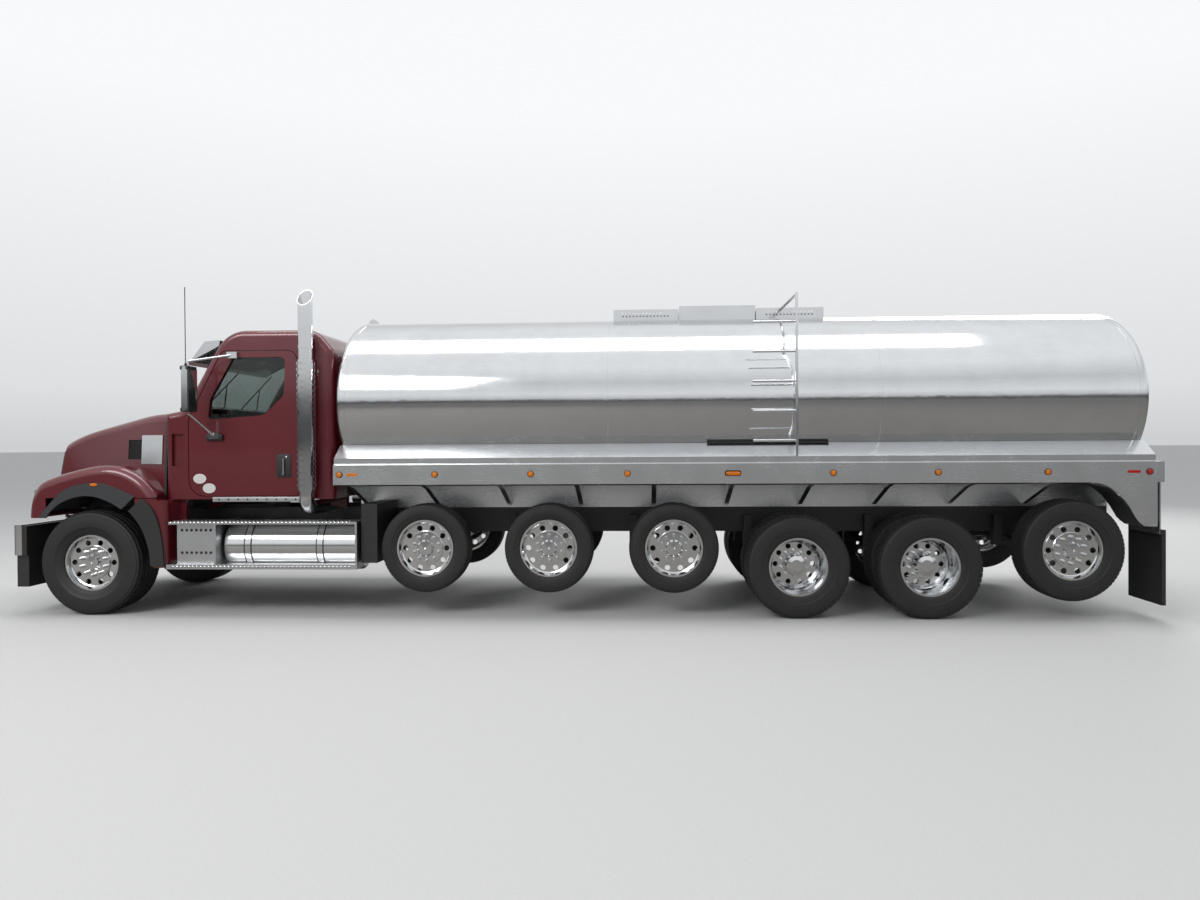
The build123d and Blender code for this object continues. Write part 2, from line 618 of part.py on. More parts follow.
# Tank: an elliptical barrel with rounded, slightly dished heads and seam bands
with BuildPart() as tank:
    with BuildSketch(cross_plane(along(TANK_FRONT))):
        with Locations((0, TANK_Z)):
            Ellipse(TANK_HALF_WIDTH, TANK_HALF_HEIGHT)
    extrude(amount=TANK_REAR - TANK_FRONT)
    fillet(tank.edges(), TANK_KNUCKLE)
    outlet_x = along(OUTLET_STATION)
    bottom_z = TANK_Z - TANK_HALF_HEIGHT
    rod((outlet_x, 0, OUTLET_Z), (outlet_x, 0, bottom_z + 40), OUTLET_RADIUS)
    rod((outlet_x - OUTLET_RADIUS, 0, OUTLET_Z), (along(OUTLET_END) - 5, 0, OUTLET_Z), OUTLET_RADIUS)
    rod((along(OUTLET_END) - FERRULE_LENGTH, 0, OUTLET_Z), (along(OUTLET_END), 0, OUTLET_Z), FERRULE_RADIUS)
tank.part.label = "tank"
export_step(tank.part, "parts/tank.step")

# Body rails: outer rail, bright step and sloping skirt, bearers and sills
with BuildPart() as body_rails:
    outer = BODY_HALF_WIDTH
    skirt_y = TANK_HALF_WIDTH * sqrt(1 - ((TANK_Z - SKIRT_HIGH) / TANK_HALF_HEIGHT) ** 2) + 4
    rail_step = 30.0
    step_high = BODY_RAIL_HIGH + 70
    section = [
        (outer - 60, BODY_RAIL_LOW),
        (outer, BODY_RAIL_LOW),
        (outer, BODY_RAIL_HIGH),
        (outer - rail_step, BODY_RAIL_HIGH + 12),
        (outer - rail_step, step_high),
        (skirt_y, SKIRT_HIGH),
        (skirt_y, SKIRT_HIGH - 12),
        (outer - rail_step - SHEET, step_high - 8),
        (outer - rail_step - SHEET, BODY_RAIL_HIGH),
        (outer - SHEET, BODY_RAIL_HIGH - 12),
        (outer - SHEET, BODY_RAIL_LOW + SHEET),
        (outer - 60, BODY_RAIL_LOW + SHEET),
    ]
    lengthwise(section, along(BODY_FRONT), along(BODY_REAR))
    sill_outer = SILL_INNER + SILL_WIDTH
    sill_low = FRAME_TOP + SEAT_CLEARANCE
    sill_high = TANK_Z - tank_surface(SILL_INNER, SEAT_CLEARANCE)
    slab((along(BODY_FRONT), along(BODY_REAR - 20)), (SILL_INNER, sill_outer), (sill_low, sill_high))
    bearer = [
        (sill_outer - 10, sill_low + 20),
        (sill_outer - 10, sill_high - 4),
        (outer - SHEET - 2, BODY_RAIL_LOW + 90),
        (outer - SHEET + 1, BODY_RAIL_LOW + 90),
        (outer - SHEET + 1, BODY_RAIL_LOW + 1),
        (outer - 80, BODY_RAIL_LOW + 1),
        (outer - 340, BODY_RAIL_LOW - 60),
    ]
    bearer_pitch = (BEARER_ENDS[1] - BEARER_ENDS[0]) / (BEARER_COUNT - 1)
    for index in range(BEARER_COUNT):
        x = along(BEARER_ENDS[0] + index * bearer_pitch)
        lengthwise(bearer, x - BEARER_THICKNESS / 2, x + BEARER_THICKNESS / 2)
    mirror(about=Plane.XZ)
body_rails.part.label = "body_rails"
export_step(body_rails.part, "parts/body_rails.step")

# Side lamps: round amber markers, a long turn lamp amidships and red ones at the rear
LAMP_RADIUS = 34.0
LAMP_DEPTH = 16.0
LAMP_Z = 1492.0
LAMP_SHARES = [0.008, 0.129, 0.249, 0.369, 0.619, 0.744, 0.873, 0.991]
TURN_LAMP_SHARE = 0.498
BODY_LENGTH = BODY_REAR - BODY_FRONT
with BuildPart() as side_lamps:
    for share in LAMP_SHARES:
        station = BODY_FRONT + share * BODY_LENGTH
        start = (along(station), -BODY_HALF_WIDTH - SEAT_CLEARANCE, LAMP_Z)
        end = (along(station), -BODY_HALF_WIDTH - LAMP_DEPTH, LAMP_Z)
        rod(start, end, LAMP_RADIUS)
    turn_x = along(BODY_FRONT + TURN_LAMP_SHARE * BODY_LENGTH)
    slab(
        (turn_x - 80, turn_x + 80),
        (-BODY_HALF_WIDTH - LAMP_DEPTH, -BODY_HALF_WIDTH - SEAT_CLEARANCE),
        (LAMP_Z - 28, LAMP_Z + 28),
    )
    mirror(about=Plane.XZ)
side_lamps.part.label = "side_lamps"
export_step(side_lamps.part, "parts/side_lamps.step")

# Cab shell: side view outline carried across, hollowed, with its openings cut
# Columns of the outlines: X from the steer axle, Z, corner radius
CAB_OUTLINE = [
    (CAB_FRONT, CAB_FLOOR, 0),
    (CAB_FRONT, COWL_TOP, 0),
    (925.0, 2185.0, 100.0),
    (1330.0, 2890.0, 300.0),
    (1470.0, 3040.0, 350.0),
    (2400.0, 3038.0, 250.0),
    (CAB_REAR, 2810.0, 150.0),
    (CAB_REAR, CAB_FLOOR, 0),
]
DOOR_OUTLINE = [
    (DOOR_FRONT, DOOR_BOTTOM, 170.0),
    (DOOR_FRONT, 2085.0, 80.0),
    (1380.0, DOOR_TOP, 90.0),
    (DOOR_REAR, DOOR_TOP, 110.0),
    (DOOR_REAR, DOOR_BOTTOM, 25.0),
]
WINDOW_OUTLINE = [
    (1215.0, 2083.0, 30.0),
    (1240.0, 2300.0, 120.0),
    (1498.0, 2746.0, 50.0),
    (2066.0, 2746.0, 45.0),
    (2054.0, 2342.0, 150.0),
    (1837.0, 2127.0, 150.0),
]
SCREEN_BASE = Vector(925.0, 2185.0)
SCREEN_TOP = Vector(1330.0, 2890.0)
SCREEN_MARGIN = 75.0
SCREEN_HALF_WIDTH = 905.0
REAR_WINDOW_HALF_WIDTH = 520.0
REAR_WINDOW_Z = (2230.0, 2650.0)
COWL_RECESS_X = (812.0, 938.0)
COWL_RECESS_Z = (1585.0, 1930.0)
COWL_RECESS_DEPTH = 35.0


def side_cut(corners, growth, y_low, y_high, mode=Mode.ADD):
    """Carries a side view outline, rounded and grown by an amount, across the vehicle."""
    plane = Plane(origin=(along(0), y_high, 0), x_dir=(1, 0, 0), z_dir=(0, -1, 0))
    with BuildSketch(plane) as outline:
        with BuildLine():
            Polyline([corner[:2] for corner in corners], close=True)
        make_face()
        for x, z, radius in corners:
            if radius:
                fillet(outline.vertices().sort_by_distance((x, z))[0], radius)
        if growth:
            offset(amount=growth, kind=Kind.INTERSECTION, mode=Mode.REPLACE)
    extrude(outline.sketch, amount=y_high - y_low, mode=mode)


def screen_band(margin, outward, inward):
    """Side view of a strip along the raked windscreen, between two depths."""
    run = (SCREEN_TOP - SCREEN_BASE).normalized()
    out = Vector(-run.Y, run.X)
    low = SCREEN_BASE + run * margin
    high = SCREEN_TOP - run * margin
    corners = [low + out * outward, high + out * outward, high - out * inward, low - out * inward]
    return [(corner.X, corner.Y) for corner in corners]


CAB_INNER = CAB_HALF_WIDTH - CAB_WALL
FAIRING_REAR = 845.0
FAIRING_INNER = 935.0
FAIRING_WEB_REAR = 925.0
FAIRING_WEB = 45.0
FAIRING_LOW = 510.0
FAIRING_CORNER = 70.0
WHEEL_WELL_RADIUS = 700.0
SPLIT_Z = 1254.0
with BuildPart() as cab_shell:
    side_cut(CAB_OUTLINE, 0, -CAB_HALF_WIDTH, CAB_HALF_WIDTH)
    roof_arc = cab_shell.edges().filter_by(lambda edge: abs(edge.center().Y) > CAB_HALF_WIDTH - 1)
    fillet(roof_arc.filter_by(lambda edge: edge.center().Z > CAB_FLOOR + 5), ROOF_EDGE_RADIUS)
    side_cut(CAB_OUTLINE, -CAB_WALL, -CAB_INNER, CAB_INNER, mode=Mode.SUBTRACT)
    for side in (-1, 1):
        limits = sorted((side * (CAB_INNER - 30), side * (CAB_HALF_WIDTH + 10)))
        side_cut(DOOR_OUTLINE, PANEL_GAP, limits[0], limits[1], mode=Mode.SUBTRACT)
        recess_y = sorted((side * (CAB_HALF_WIDTH - COWL_RECESS_DEPTH), side * (CAB_HALF_WIDTH + 10)))
        recess_x = (along(COWL_RECESS_X[0]), along(COWL_RECESS_X[1]))
        slab(recess_x, recess_y, COWL_RECESS_Z, Mode.SUBTRACT)
    opening = screen_band(SCREEN_MARGIN, 30, CAB_WALL + 40)
    across(opening, -SCREEN_HALF_WIDTH, SCREEN_HALF_WIDTH, Mode.SUBTRACT)
    rear_wall = (along(CAB_REAR - CAB_WALL) - 20, along(CAB_REAR) + 20)
    slab(rear_wall, (-REAR_WINDOW_HALF_WIDTH, REAR_WINDOW_HALF_WIDTH), REAR_WINDOW_Z, Mode.SUBTRACT)
    fairing = [(500.0, SPLIT_Z - PANEL_GAP), (CAB_FRONT + 1, SPLIT_Z - PANEL_GAP)]
    fairing += [(CAB_FRONT + 1, CAB_FLOOR + 1), (FAIRING_REAR, CAB_FLOOR + 1)]
    fairing += [(FAIRING_REAR, FAIRING_LOW + 25), (FAIRING_REAR - 40, FAIRING_LOW), (500.0, FAIRING_LOW)]
    for side in (-1, 1):
        limits = sorted((side * FAIRING_INNER, side * FENDER_HALF_WIDTH))
        across(fairing, limits[0], limits[1])
        web_y = sorted((side * FAIRING_INNER, side * (FAIRING_INNER + FAIRING_WEB)))
        slab((along(FAIRING_REAR) - 1, along(FAIRING_WEB_REAR)), web_y, (FAIRING_LOW + 60, CAB_FLOOR + 1))
        corner = (along(FAIRING_REAR), side * FENDER_HALF_WIDTH, (FAIRING_LOW + CAB_FLOOR) / 2)
        upright = cab_shell.edges().filter_by(Axis.Z).sort_by_distance(corner)[0]
        fillet(upright, FAIRING_CORNER)
        well_start = (along(0), side * 900, STEER_TYRE["height"])
        rod(well_start, (along(0), side * 1300, STEER_TYRE["height"]), WHEEL_WELL_RADIUS, Mode.SUBTRACT)
        for station in CAB_MOUNT_STATIONS:
            foot = sorted((side * (RAIL_HALF_WIDTH - RAIL_FLANGE), side * RAIL_HALF_WIDTH))
            slab((along(station), along(station) + 120), foot, (FRAME_TOP + SEAT_CLEARANCE, CAB_FLOOR + 1))
    # Seams where roof, back, sides, floor, firewall and cowl meet
    seam_y = CAB_INNER + SEAT_CLEARANCE
    back_x = along(CAB_REAR - CAB_WALL)
    firewall_x = (along(CAB_FRONT) - 10, along(CAB_FRONT + CAB_WALL))
    whole_x = (firewall_x[0], along(CAB_REAR) + 10)
    whole_y = (-CAB_HALF_WIDTH - 10, CAB_HALF_WIDTH + 10)
    below_roof = (CAB_FLOOR - SEAT_CLEARANCE, ROOF_SEAM_Z + SEAT_CLEARANCE)
    slab(whole_x, whole_y, (ROOF_SEAM_Z, ROOF_SEAM_Z + SEAT_CLEARANCE), Mode.SUBTRACT)
    slab((back_x - SEAT_CLEARANCE, back_x), whole_y, below_roof, Mode.SUBTRACT)
    slab(firewall_x, (-seam_y, seam_y), (COWL_SEAM_Z, COWL_SEAM_Z + SEAT_CLEARANCE), Mode.SUBTRACT)
    floor_seam = (CAB_FLOOR - SEAT_CLEARANCE, CAB_FLOOR + CAB_WALL + 1)
    slab((firewall_x[1], firewall_x[1] + SEAT_CLEARANCE), (-seam_y, seam_y), floor_seam, Mode.SUBTRACT)
    for side in (-1, 1):
        side_seam = sorted((side * CAB_INNER, side * seam_y))
        slab((whole_x[0], back_x), side_seam, below_roof, Mode.SUBTRACT)
        under = sorted((side * (FAIRING_INNER - 1), side * seam_y))
        under_x = (along(CAB_FRONT) - 1, along(FAIRING_WEB_REAR) + 1)
        slab(under_x, under, (CAB_FLOOR - SEAT_CLEARANCE, CAB_FLOOR), Mode.SUBTRACT)
        front_seam = (along(CAB_FRONT) - SEAT_CLEARANCE, along(CAB_FRONT))
        slab(front_seam, under, (CAB_FLOOR - 1, SPLIT_Z), Mode.SUBTRACT)
cab_shell.part.label = "cab_shell"
export_step(cab_shell.part, "parts/cab_shell.step")

# Cab glass: windscreen and rear window
with BuildPart() as cab_glass:
    depth = 14.0
    screen = screen_band(SCREEN_MARGIN + SEAT_CLEARANCE, -depth, depth + GLASS_THICKNESS)
    across(screen, -SCREEN_HALF_WIDTH + SEAT_CLEARANCE, SCREEN_HALF_WIDTH - SEAT_CLEARANCE)
    pane_x = along(CAB_REAR) - CAB_WALL / 2
    half = REAR_WINDOW_HALF_WIDTH - SEAT_CLEARANCE
    heights = (REAR_WINDOW_Z[0] + SEAT_CLEARANCE, REAR_WINDOW_Z[1] - SEAT_CLEARANCE)
    slab((pane_x, pane_x + GLASS_THICKNESS), (-half, half), heights)
cab_glass.part.label = "cab_glass"
export_step(cab_glass.part, "parts/cab_glass.step")

# Cab interior: dashboard, seats, steering wheel on its column
FLOOR_TOP = CAB_FLOOR + CAB_WALL + SEAT_CLEARANCE
DASH_FRONT = CAB_FRONT + CAB_WALL + SEAT_CLEARANCE
DASH_REAR = 1180.0
SEAT_Y = 520.0
SEAT_HALF_WIDTH = 240.0
SEAT_BASE = [(1600.0, FLOOR_TOP), (1560.0, 1740.0), (2080.0, 1720.0), (2060.0, FLOOR_TOP)]
SEAT_CUSHION = [(1530.0, 1740.0), (1560.0, 1830.0), (2070.0, 1800.0), (2080.0, 1720.0)]
SEAT_BACK = [(1990.0, 1790.0), (2150.0, 2500.0), (2240.0, 2490.0), (2110.0, 1740.0), (2060.0, 1730.0)]
STEERING_TILT = 35.0
STEERING_RADIUS = 228.0
with BuildPart() as cab_interior:
    dash = [(DASH_FRONT, 1640.0), (DASH_FRONT, 2040.0), (1090.0, 2060.0)]
    dash += [(DASH_REAR, 1960.0), (DASH_REAR, 1700.0)]
    dash_half = CAB_INNER - SEAT_CLEARANCE
    across(dash, -dash_half, dash_half)
    for side in (-1, 1):
        y_low = side * SEAT_Y - SEAT_HALF_WIDTH
        y_high = side * SEAT_Y + SEAT_HALF_WIDTH
        across(SEAT_BASE, y_low + 60, y_high - 60)
        across(SEAT_CUSHION, y_low, y_high)
        across(SEAT_BACK, y_low + 10, y_high - 10)
    centre = Vector(along(1370), -SEAT_Y, 2010)
    tilt = radians(STEERING_TILT)
    column_axis = Vector(cos(tilt) * -1, 0, -sin(tilt))
    rod(tuple(centre), tuple(centre + column_axis * 215), 30)
    with BuildSketch(Plane(origin=centre, x_dir=(0, 1, 0), z_dir=-column_axis)) as wheel_ring:
        Circle(STEERING_RADIUS)
        Circle(STEERING_RADIUS - 32, mode=Mode.SUBTRACT)
        Rectangle(2 * STEERING_RADIUS - 20, 46)
    extrude(wheel_ring.sketch, amount=26)
cab_interior.part.label = "cab_interior"
export_step(cab_interior.part, "parts/cab_interior.step")

# Bright sun visor: a folded sheet with end plates, held by struts on the header
VISOR_EDGE = [(918.0, 2691.0), (977.0, 2723.0), (1138.0, 2933.0), (1311.0, 2947.0)]
VISOR_UNDER = [(1298.0, 2885.0), (1201.0, 2832.0)]
VISOR_FOLD = (4.0, -7.0)
VISOR_HALF_WIDTH = 960.0
VISOR_STRUTS = [-800.0, -300.0, 300.0, 800.0]
VISOR_STRUT_WIDTH = 24.0
HEADER_LOW = 71.0
HEADER_HIGH = 38.0
with BuildPart() as sun_visor:
    inside = [(x + VISOR_FOLD[0], z + VISOR_FOLD[1]) for x, z in VISOR_EDGE]
    across(VISOR_EDGE + inside[::-1], -VISOR_HALF_WIDTH, VISOR_HALF_WIDTH)
    for side in (-1, 1):
        plate_y = sorted((side * (VISOR_HALF_WIDTH - SHEET), side * VISOR_HALF_WIDTH))
        across(VISOR_EDGE + VISOR_UNDER, plate_y[0], plate_y[1])
    header = screen_band(0, SEAT_CLEARANCE, 0)
    seat_run = (Vector(*header[1]) - Vector(*header[0])).normalized()
    seat_low = Vector(*header[1]) - seat_run * HEADER_LOW
    seat_high = Vector(*header[1]) - seat_run * HEADER_HIGH
    strut = [(seat_low.X, seat_low.Y), (seat_high.X, seat_high.Y), (1255.0, 2938.0), (1190.0, 2933.0)]
    for y in VISOR_STRUTS:
        across(strut, y - VISOR_STRUT_WIDTH / 2, y + VISOR_STRUT_WIDTH / 2)
sun_visor.part.label = "sun_visor"
export_step(sun_visor.part, "parts/sun_visor.step")

# Doors with their glass and mirrors, alike on both sides
DOOR_OUTER = CAB_HALF_WIDTH
PANE_PLANE = CAB_HALF_WIDTH - CAB_WALL / 2
HANDLE_X = (2000.0, 2090.0)
HANDLE_Z = (1480.0, 1690.0)
MIRROR_Y = (1262.0, 1432.0)
MIRROR_X = (1128.0, 1208.0)
MIRROR_Z = (2165.0, 2620.0)
MIRROR_TUBE = 13.0
# Columns: mount height, mount place, height at the mirror head
MIRROR_MOUNTS = [(2768.0, 1505.0, MIRROR_Z[1]), (1905.0, 1300.0, MIRROR_Z[0])]
for side_name, side in SIDES.items():
    with BuildPart() as door:
        limits = sorted((side * CAB_INNER, side * DOOR_OUTER))
        side_cut(DOOR_OUTLINE, 0, limits[0], limits[1])
        cut_limits = (limits[0] - 10, limits[1] + 10)
        side_cut(WINDOW_OUTLINE, 0, cut_limits[0], cut_limits[1], mode=Mode.SUBTRACT)
        pocket = sorted((side * (DOOR_OUTER - 28), side * (DOOR_OUTER + 5)))
        handle_x = (along(HANDLE_X[0]), along(HANDLE_X[1]))
        slab(handle_x, pocket, HANDLE_Z, Mode.SUBTRACT)
        lever = sorted((side * (DOOR_OUTER - 29), side * (DOOR_OUTER - 3)))
        slab((handle_x[0] + 32, handle_x[1] - 32), lever, (HANDLE_Z[0] + 25, HANDLE_Z[1] - 30))
    door_name = f"door_{side_name}"
    door.part.label = door_name
    export_step(door.part, f"parts/{door_name}.step")

    with BuildPart() as door_glass:
        limits = sorted((side * PANE_PLANE, side * (PANE_PLANE + GLASS_THICKNESS)))
        side_cut(WINDOW_OUTLINE, -SEAT_CLEARANCE, limits[0], limits[1])
    glass_name = f"door_glass_{side_name}"
    door_glass.part.label = glass_name
    export_step(door_glass.part, f"parts/{glass_name}.step")

    with BuildPart() as mirror_head:
        head_y = sorted((side * MIRROR_Y[0], side * MIRROR_Y[1]))
        slab((along(MIRROR_X[0]), along(MIRROR_X[1])), head_y, MIRROR_Z)
        fillet(mirror_head.edges().filter_by(Axis.Z), 24)
        seat_y = side * (DOOR_OUTER + SEAT_CLEARANCE)
        for z_mount, x_mount, z_head in MIRROR_MOUNTS:
            mount_y = sorted((seat_y, side * (DOOR_OUTER + 45)))
            slab((along(x_mount) - 55, along(x_mount) + 55), mount_y, (z_mount - 34, z_mount + 34))
            knee = (along(1168), side * 1345, z_head + (60 if z_head == MIRROR_Z[1] else -30))
            rod((along(x_mount), side * (DOOR_OUTER + 25), z_mount), knee, MIRROR_TUBE)
            rod((knee[0], knee[1], z_head - 10 if z_head == MIRROR_Z[1] else z_head + 10), knee, MIRROR_TUBE)
    mirror_name = f"mirror_{side_name}"
    mirror_head.part.label = mirror_name
    export_step(mirror_head.part, f"parts/{mirror_name}.step")

# Hood: a lofted shell with both front fenders, open below and behind
# Columns: place behind the steer axle, half width low, half width high, top
HOOD_SECTIONS = [
    (-862.0, 478.0, 440.0, 1790.0),
    (-600.0, 562.0, 505.0, 1917.0),
    (-155.0, 705.0, 617.0, 2030.0),
    (300.0, 877.0, 788.0, 2118.0),
    (HOOD_REAR, 1040.0, 960.0, COWL_TOP),
]
HOOD_CORNER = 90.0
NOSE_LOW = (-800.0, 900.0)
NOSE_BREAK_Z = 1490.0
NOSE_BREAK = (-846.0, NOSE_BREAK_Z)
NOSE_HIGH = (-700.0, 2200.0)
NOSE_CUT = [(-1000.0, 900.0), NOSE_LOW, NOSE_BREAK, NOSE_HIGH, (-1000.0, 2200.0)]
FENDER_INNER = 420.0
FENDER_TIP_X = -580.0
FENDER_TIP_Z = 1040.0
FENDER_CORE = (0.0, 1200.0)
FENDER_RIDGE = [(-690.0, FENDER_TIP_Z), (-648.0, 1290.0), (-590.0, 1390.0), (-451.0, 1467.0)]
FENDER_RIDGE += [(-171.0, 1548.0), (108.0, 1597.0), (356.0, 1571.0), (576.0, 1449.0), (712.0, 1290.0)]
GRILLE_Z = (1085.0, 1750.0)
VENT_X = (139.0, 345.0)
VENT_Z = (1655.0, 1870.0)
PANEL_X = (353.0, 662.0)
PANEL_Z = (1604.0, 1920.0)
HEADLAMP_Y = (560.0, 1110.0)
HEADLAMP_Z = (1130.0, 1330.0)


def nose_face(z):
    """Place of the hood's nose at a height, behind the steer axle."""
    start, end = (NOSE_LOW, NOSE_BREAK) if z < NOSE_BREAK_Z else (NOSE_BREAK, NOSE_HIGH)
    return start[0] + (end[0] - start[0]) * (z - start[1]) / (end[1] - start[1])


def hood_loft(inset, front_inset, mode=Mode.ADD):
    """Main hood body lofted through its cross sections, shrunk by an inset."""
    faces = []
    ends = (HOOD_SECTIONS[0][0], HOOD_SECTIONS[-1][0])
    bottom = HOOD_LOW - (100 if inset > 1 else 0)
    for place, low_half, high_half, top in HOOD_SECTIONS:
        shift = front_inset if place == ends[0] else (1 if inset > 1 and place == ends[1] else 0)
        with BuildSketch(cross_plane(along(place + shift))) as section:
            with BuildLine():
                Polyline(
                    (-low_half + inset, bottom),
                    (-high_half + inset, top - inset),
                    (high_half - inset, top - inset),
                    (low_half - inset, bottom),
                    close=True,
                )
            make_face()
            for side in (-1, 1):
                corner = (side * (high_half - inset), top - inset)
                fillet(section.vertices().sort_by_distance(corner)[0], HOOD_CORNER - inset)
        faces.append(section.sketch)
    loft(faces, mode=mode)


def fender_solid(inset, y_low, y_high):
    """Left fender: its side view carried across, with a rounded outer edge."""
    plane = Plane(origin=(along(0), y_high, 0), x_dir=(1, 0, 0), z_dir=(0, -1, 0))
    ridge = []
    for x, z in FENDER_RIDGE:
        inward = Vector(FENDER_CORE[0] - x, FENDER_CORE[1] - z).normalized() * inset
        ridge.append((x + inward.X, z + inward.Y))
    with BuildSketch(plane) as outline:
        with BuildLine():
            Polyline(ridge[-1], (ridge[-1][0], SPLIT_Z), (FENDER_TIP_X, FENDER_TIP_Z + inset), ridge[0])
            Spline(ridge)
        make_face()
    with BuildPart() as fender:
        extrude(outline.sketch, amount=y_high - y_low)
        outer_edges = fender.edges().filter_by(lambda edge: abs(edge.center().Y - y_low) < 1)
        fillet(outer_edges.sort_by(lambda edge: edge.center().Z)[-1], FENDER_CROWN - inset)
    return fender.part


outer_fender = fender_solid(0, -FENDER_HALF_WIDTH, -FENDER_INNER)
inner_fender = fender_solid(HOOD_WALL, -FENDER_HALF_WIDTH + HOOD_WALL, -FENDER_INNER + 10)
with BuildPart() as hood:
    hood_loft(0, 0)
    add(outer_fender)
    add(outer_fender.mirror(Plane.XZ))
    across(NOSE_CUT, -1300, 1300, Mode.SUBTRACT)
    hood_loft(HOOD_WALL, 60, Mode.SUBTRACT)
    add(inner_fender, mode=Mode.SUBTRACT)
    add(inner_fender.mirror(Plane.XZ), mode=Mode.SUBTRACT)
    for side in (-1, 1):
        arch = ((along(ARCH_X), side * 400, ARCH_Z), (along(ARCH_X), side * 1300, ARCH_Z))
        rod(arch[0], arch[1], ARCH_RADIUS, Mode.SUBTRACT)
        lamp_y = sorted((side * HEADLAMP_Y[0], side * HEADLAMP_Y[1]))
        slab((along(-760), along(-600)), lamp_y, HEADLAMP_Z, Mode.SUBTRACT)
        vent_y = sorted((side * 500, side * 1100))
        slab((along(VENT_X[0]), along(VENT_X[1])), vent_y, VENT_Z, Mode.SUBTRACT)
    slab((along(-480), along(HOOD_REAR) + 5), (-1300, 1300), (900, SPLIT_Z), Mode.SUBTRACT)
    slab((along(-900), along(-470)), (-1300, 1300), (800, 1020), Mode.SUBTRACT)
    slab((along(-900), along(-700)), (-GRILLE_HALF_WIDTH, GRILLE_HALF_WIDTH), GRILLE_Z, Mode.SUBTRACT)
    for side in (-1, 1):
        lug_y = sorted((side * HINGE_LUG_Y[0], side * HINGE_LUG_Y[1]))
        slab((along(HINGE_X) - 10, along(HINGE_X) + 15), lug_y, (HINGE_Z - 15, HINGE_Z + 55))
        pin = ((along(HINGE_X), side * HINGE_ARM_Y[0], HINGE_Z), (along(HINGE_X), side * 500, HINGE_Z))
        rod(pin[0], pin[1], HINGE_PIN + RUNNING_CLEARANCE, Mode.SUBTRACT)
hood.part.label = "hood"
export_step(hood.part, "parts/hood.step")

# Bright panels on the hood's sides, behind the vents
PANEL_PROUD = 9.0
with BuildPart() as side_panels:
    slab((along(PANEL_X[0]), along(PANEL_X[1])), (-1300, -500), PANEL_Z)
    hood_loft(-PANEL_PROUD, 0, Mode.INTERSECT)
    hood_loft(-SEAT_CLEARANCE, 0, Mode.SUBTRACT)
    mirror(about=Plane.XZ)

# Grille: bright surround seated on the nose, with bars across its opening
SURROUND_Z = (1030.0, 1812.0)
SURROUND_PROUD = 14.0
with BuildPart() as grille:
    face = [(nose_face(z), z) for z in (SURROUND_Z[0], NOSE_BREAK_Z, SURROUND_Z[1])]
    seated = [(x - SEAT_CLEARANCE, z) for x, z in face]
    proud = [(x - SURROUND_PROUD, z) for x, z in face]
    across(seated + proud[::-1], -500, 500)
    hood_loft(0, 0, Mode.INTERSECT)
    opening_y = (-GRILLE_HALF_WIDTH + 2, GRILLE_HALF_WIDTH - 2)
    slab((along(-900), along(-700)), opening_y, (GRILLE_Z[0] + 10, GRILLE_Z[1] - 10), Mode.SUBTRACT)
    pitch = (GRILLE_Z[1] - GRILLE_Z[0]) / (GRILLE_BARS + 1)
    for index in range(1, GRILLE_BARS + 1):
        z = GRILLE_Z[0] + index * pitch
        x = nose_face(z)
        slab((along(x - 14), along(x + 6)), (-GRILLE_HALF_WIDTH + 1, GRILLE_HALF_WIDTH - 1), (z - 16, z + 16))
    add(side_panels.part)
grille.part.label = "grille"
export_step(grille.part, "parts/grille.step")

# Headlamps in the fender fronts
with BuildPart() as headlamps:
    lamp_y = (-HEADLAMP_Y[1] + SEAT_CLEARANCE, -HEADLAMP_Y[0] - SEAT_CLEARANCE)
    lamp_z = (HEADLAMP_Z[0] + SEAT_CLEARANCE, HEADLAMP_Z[1] - SEAT_CLEARANCE)
    slab((along(-684), along(-640)), lamp_y, lamp_z)
    mirror(about=Plane.XZ)
headlamps.part.label = "headlamps"
export_step(headlamps.part, "parts/headlamps.step")

# Flares on the hood's fenders, from their outer and inner edges, and splash shields
SHIELD_RADIUS = 760.0
SHIELD_SHEET = 8.0
SHIELD_INNER = 470.0
SHIELD_BOTTOM = 1100.0
with BuildPart() as splash_shields:
    hub_z = STEER_TYRE["height"]
    shield_y = (-FENDER_HALF_WIDTH + HOOD_WALL + SEAT_CLEARANCE, -SHIELD_INNER)
    rod((along(0), shield_y[0], hub_z), (along(0), shield_y[1], hub_z), SHIELD_RADIUS)
    inside = (along(0), shield_y[1] - SHIELD_SHEET, hub_z)
    rod((along(0), shield_y[0] - 5, hub_z), inside, SHIELD_RADIUS - SHIELD_SHEET, Mode.SUBTRACT)
    below = [(-900.0, SHIELD_BOTTOM), (160.0, SHIELD_BOTTOM), (160.0, SPLIT_Z + PANEL_GAP)]
    below += [(900.0, SPLIT_Z + PANEL_GAP), (900.0, -300.0), (-900.0, -300.0)]
    across(below, shield_y[0] - 5, shield_y[1] + 5, Mode.SUBTRACT)
with BuildPart() as fender_flares:
    flare_band(FLARE_OUTER, FLARE_INNER)
    add(splash_shields.part)
    mirror(about=Plane.XZ)
fender_flares.part.label = "fender_flares"
export_step(fender_flares.part, "parts/fender_flares.step")

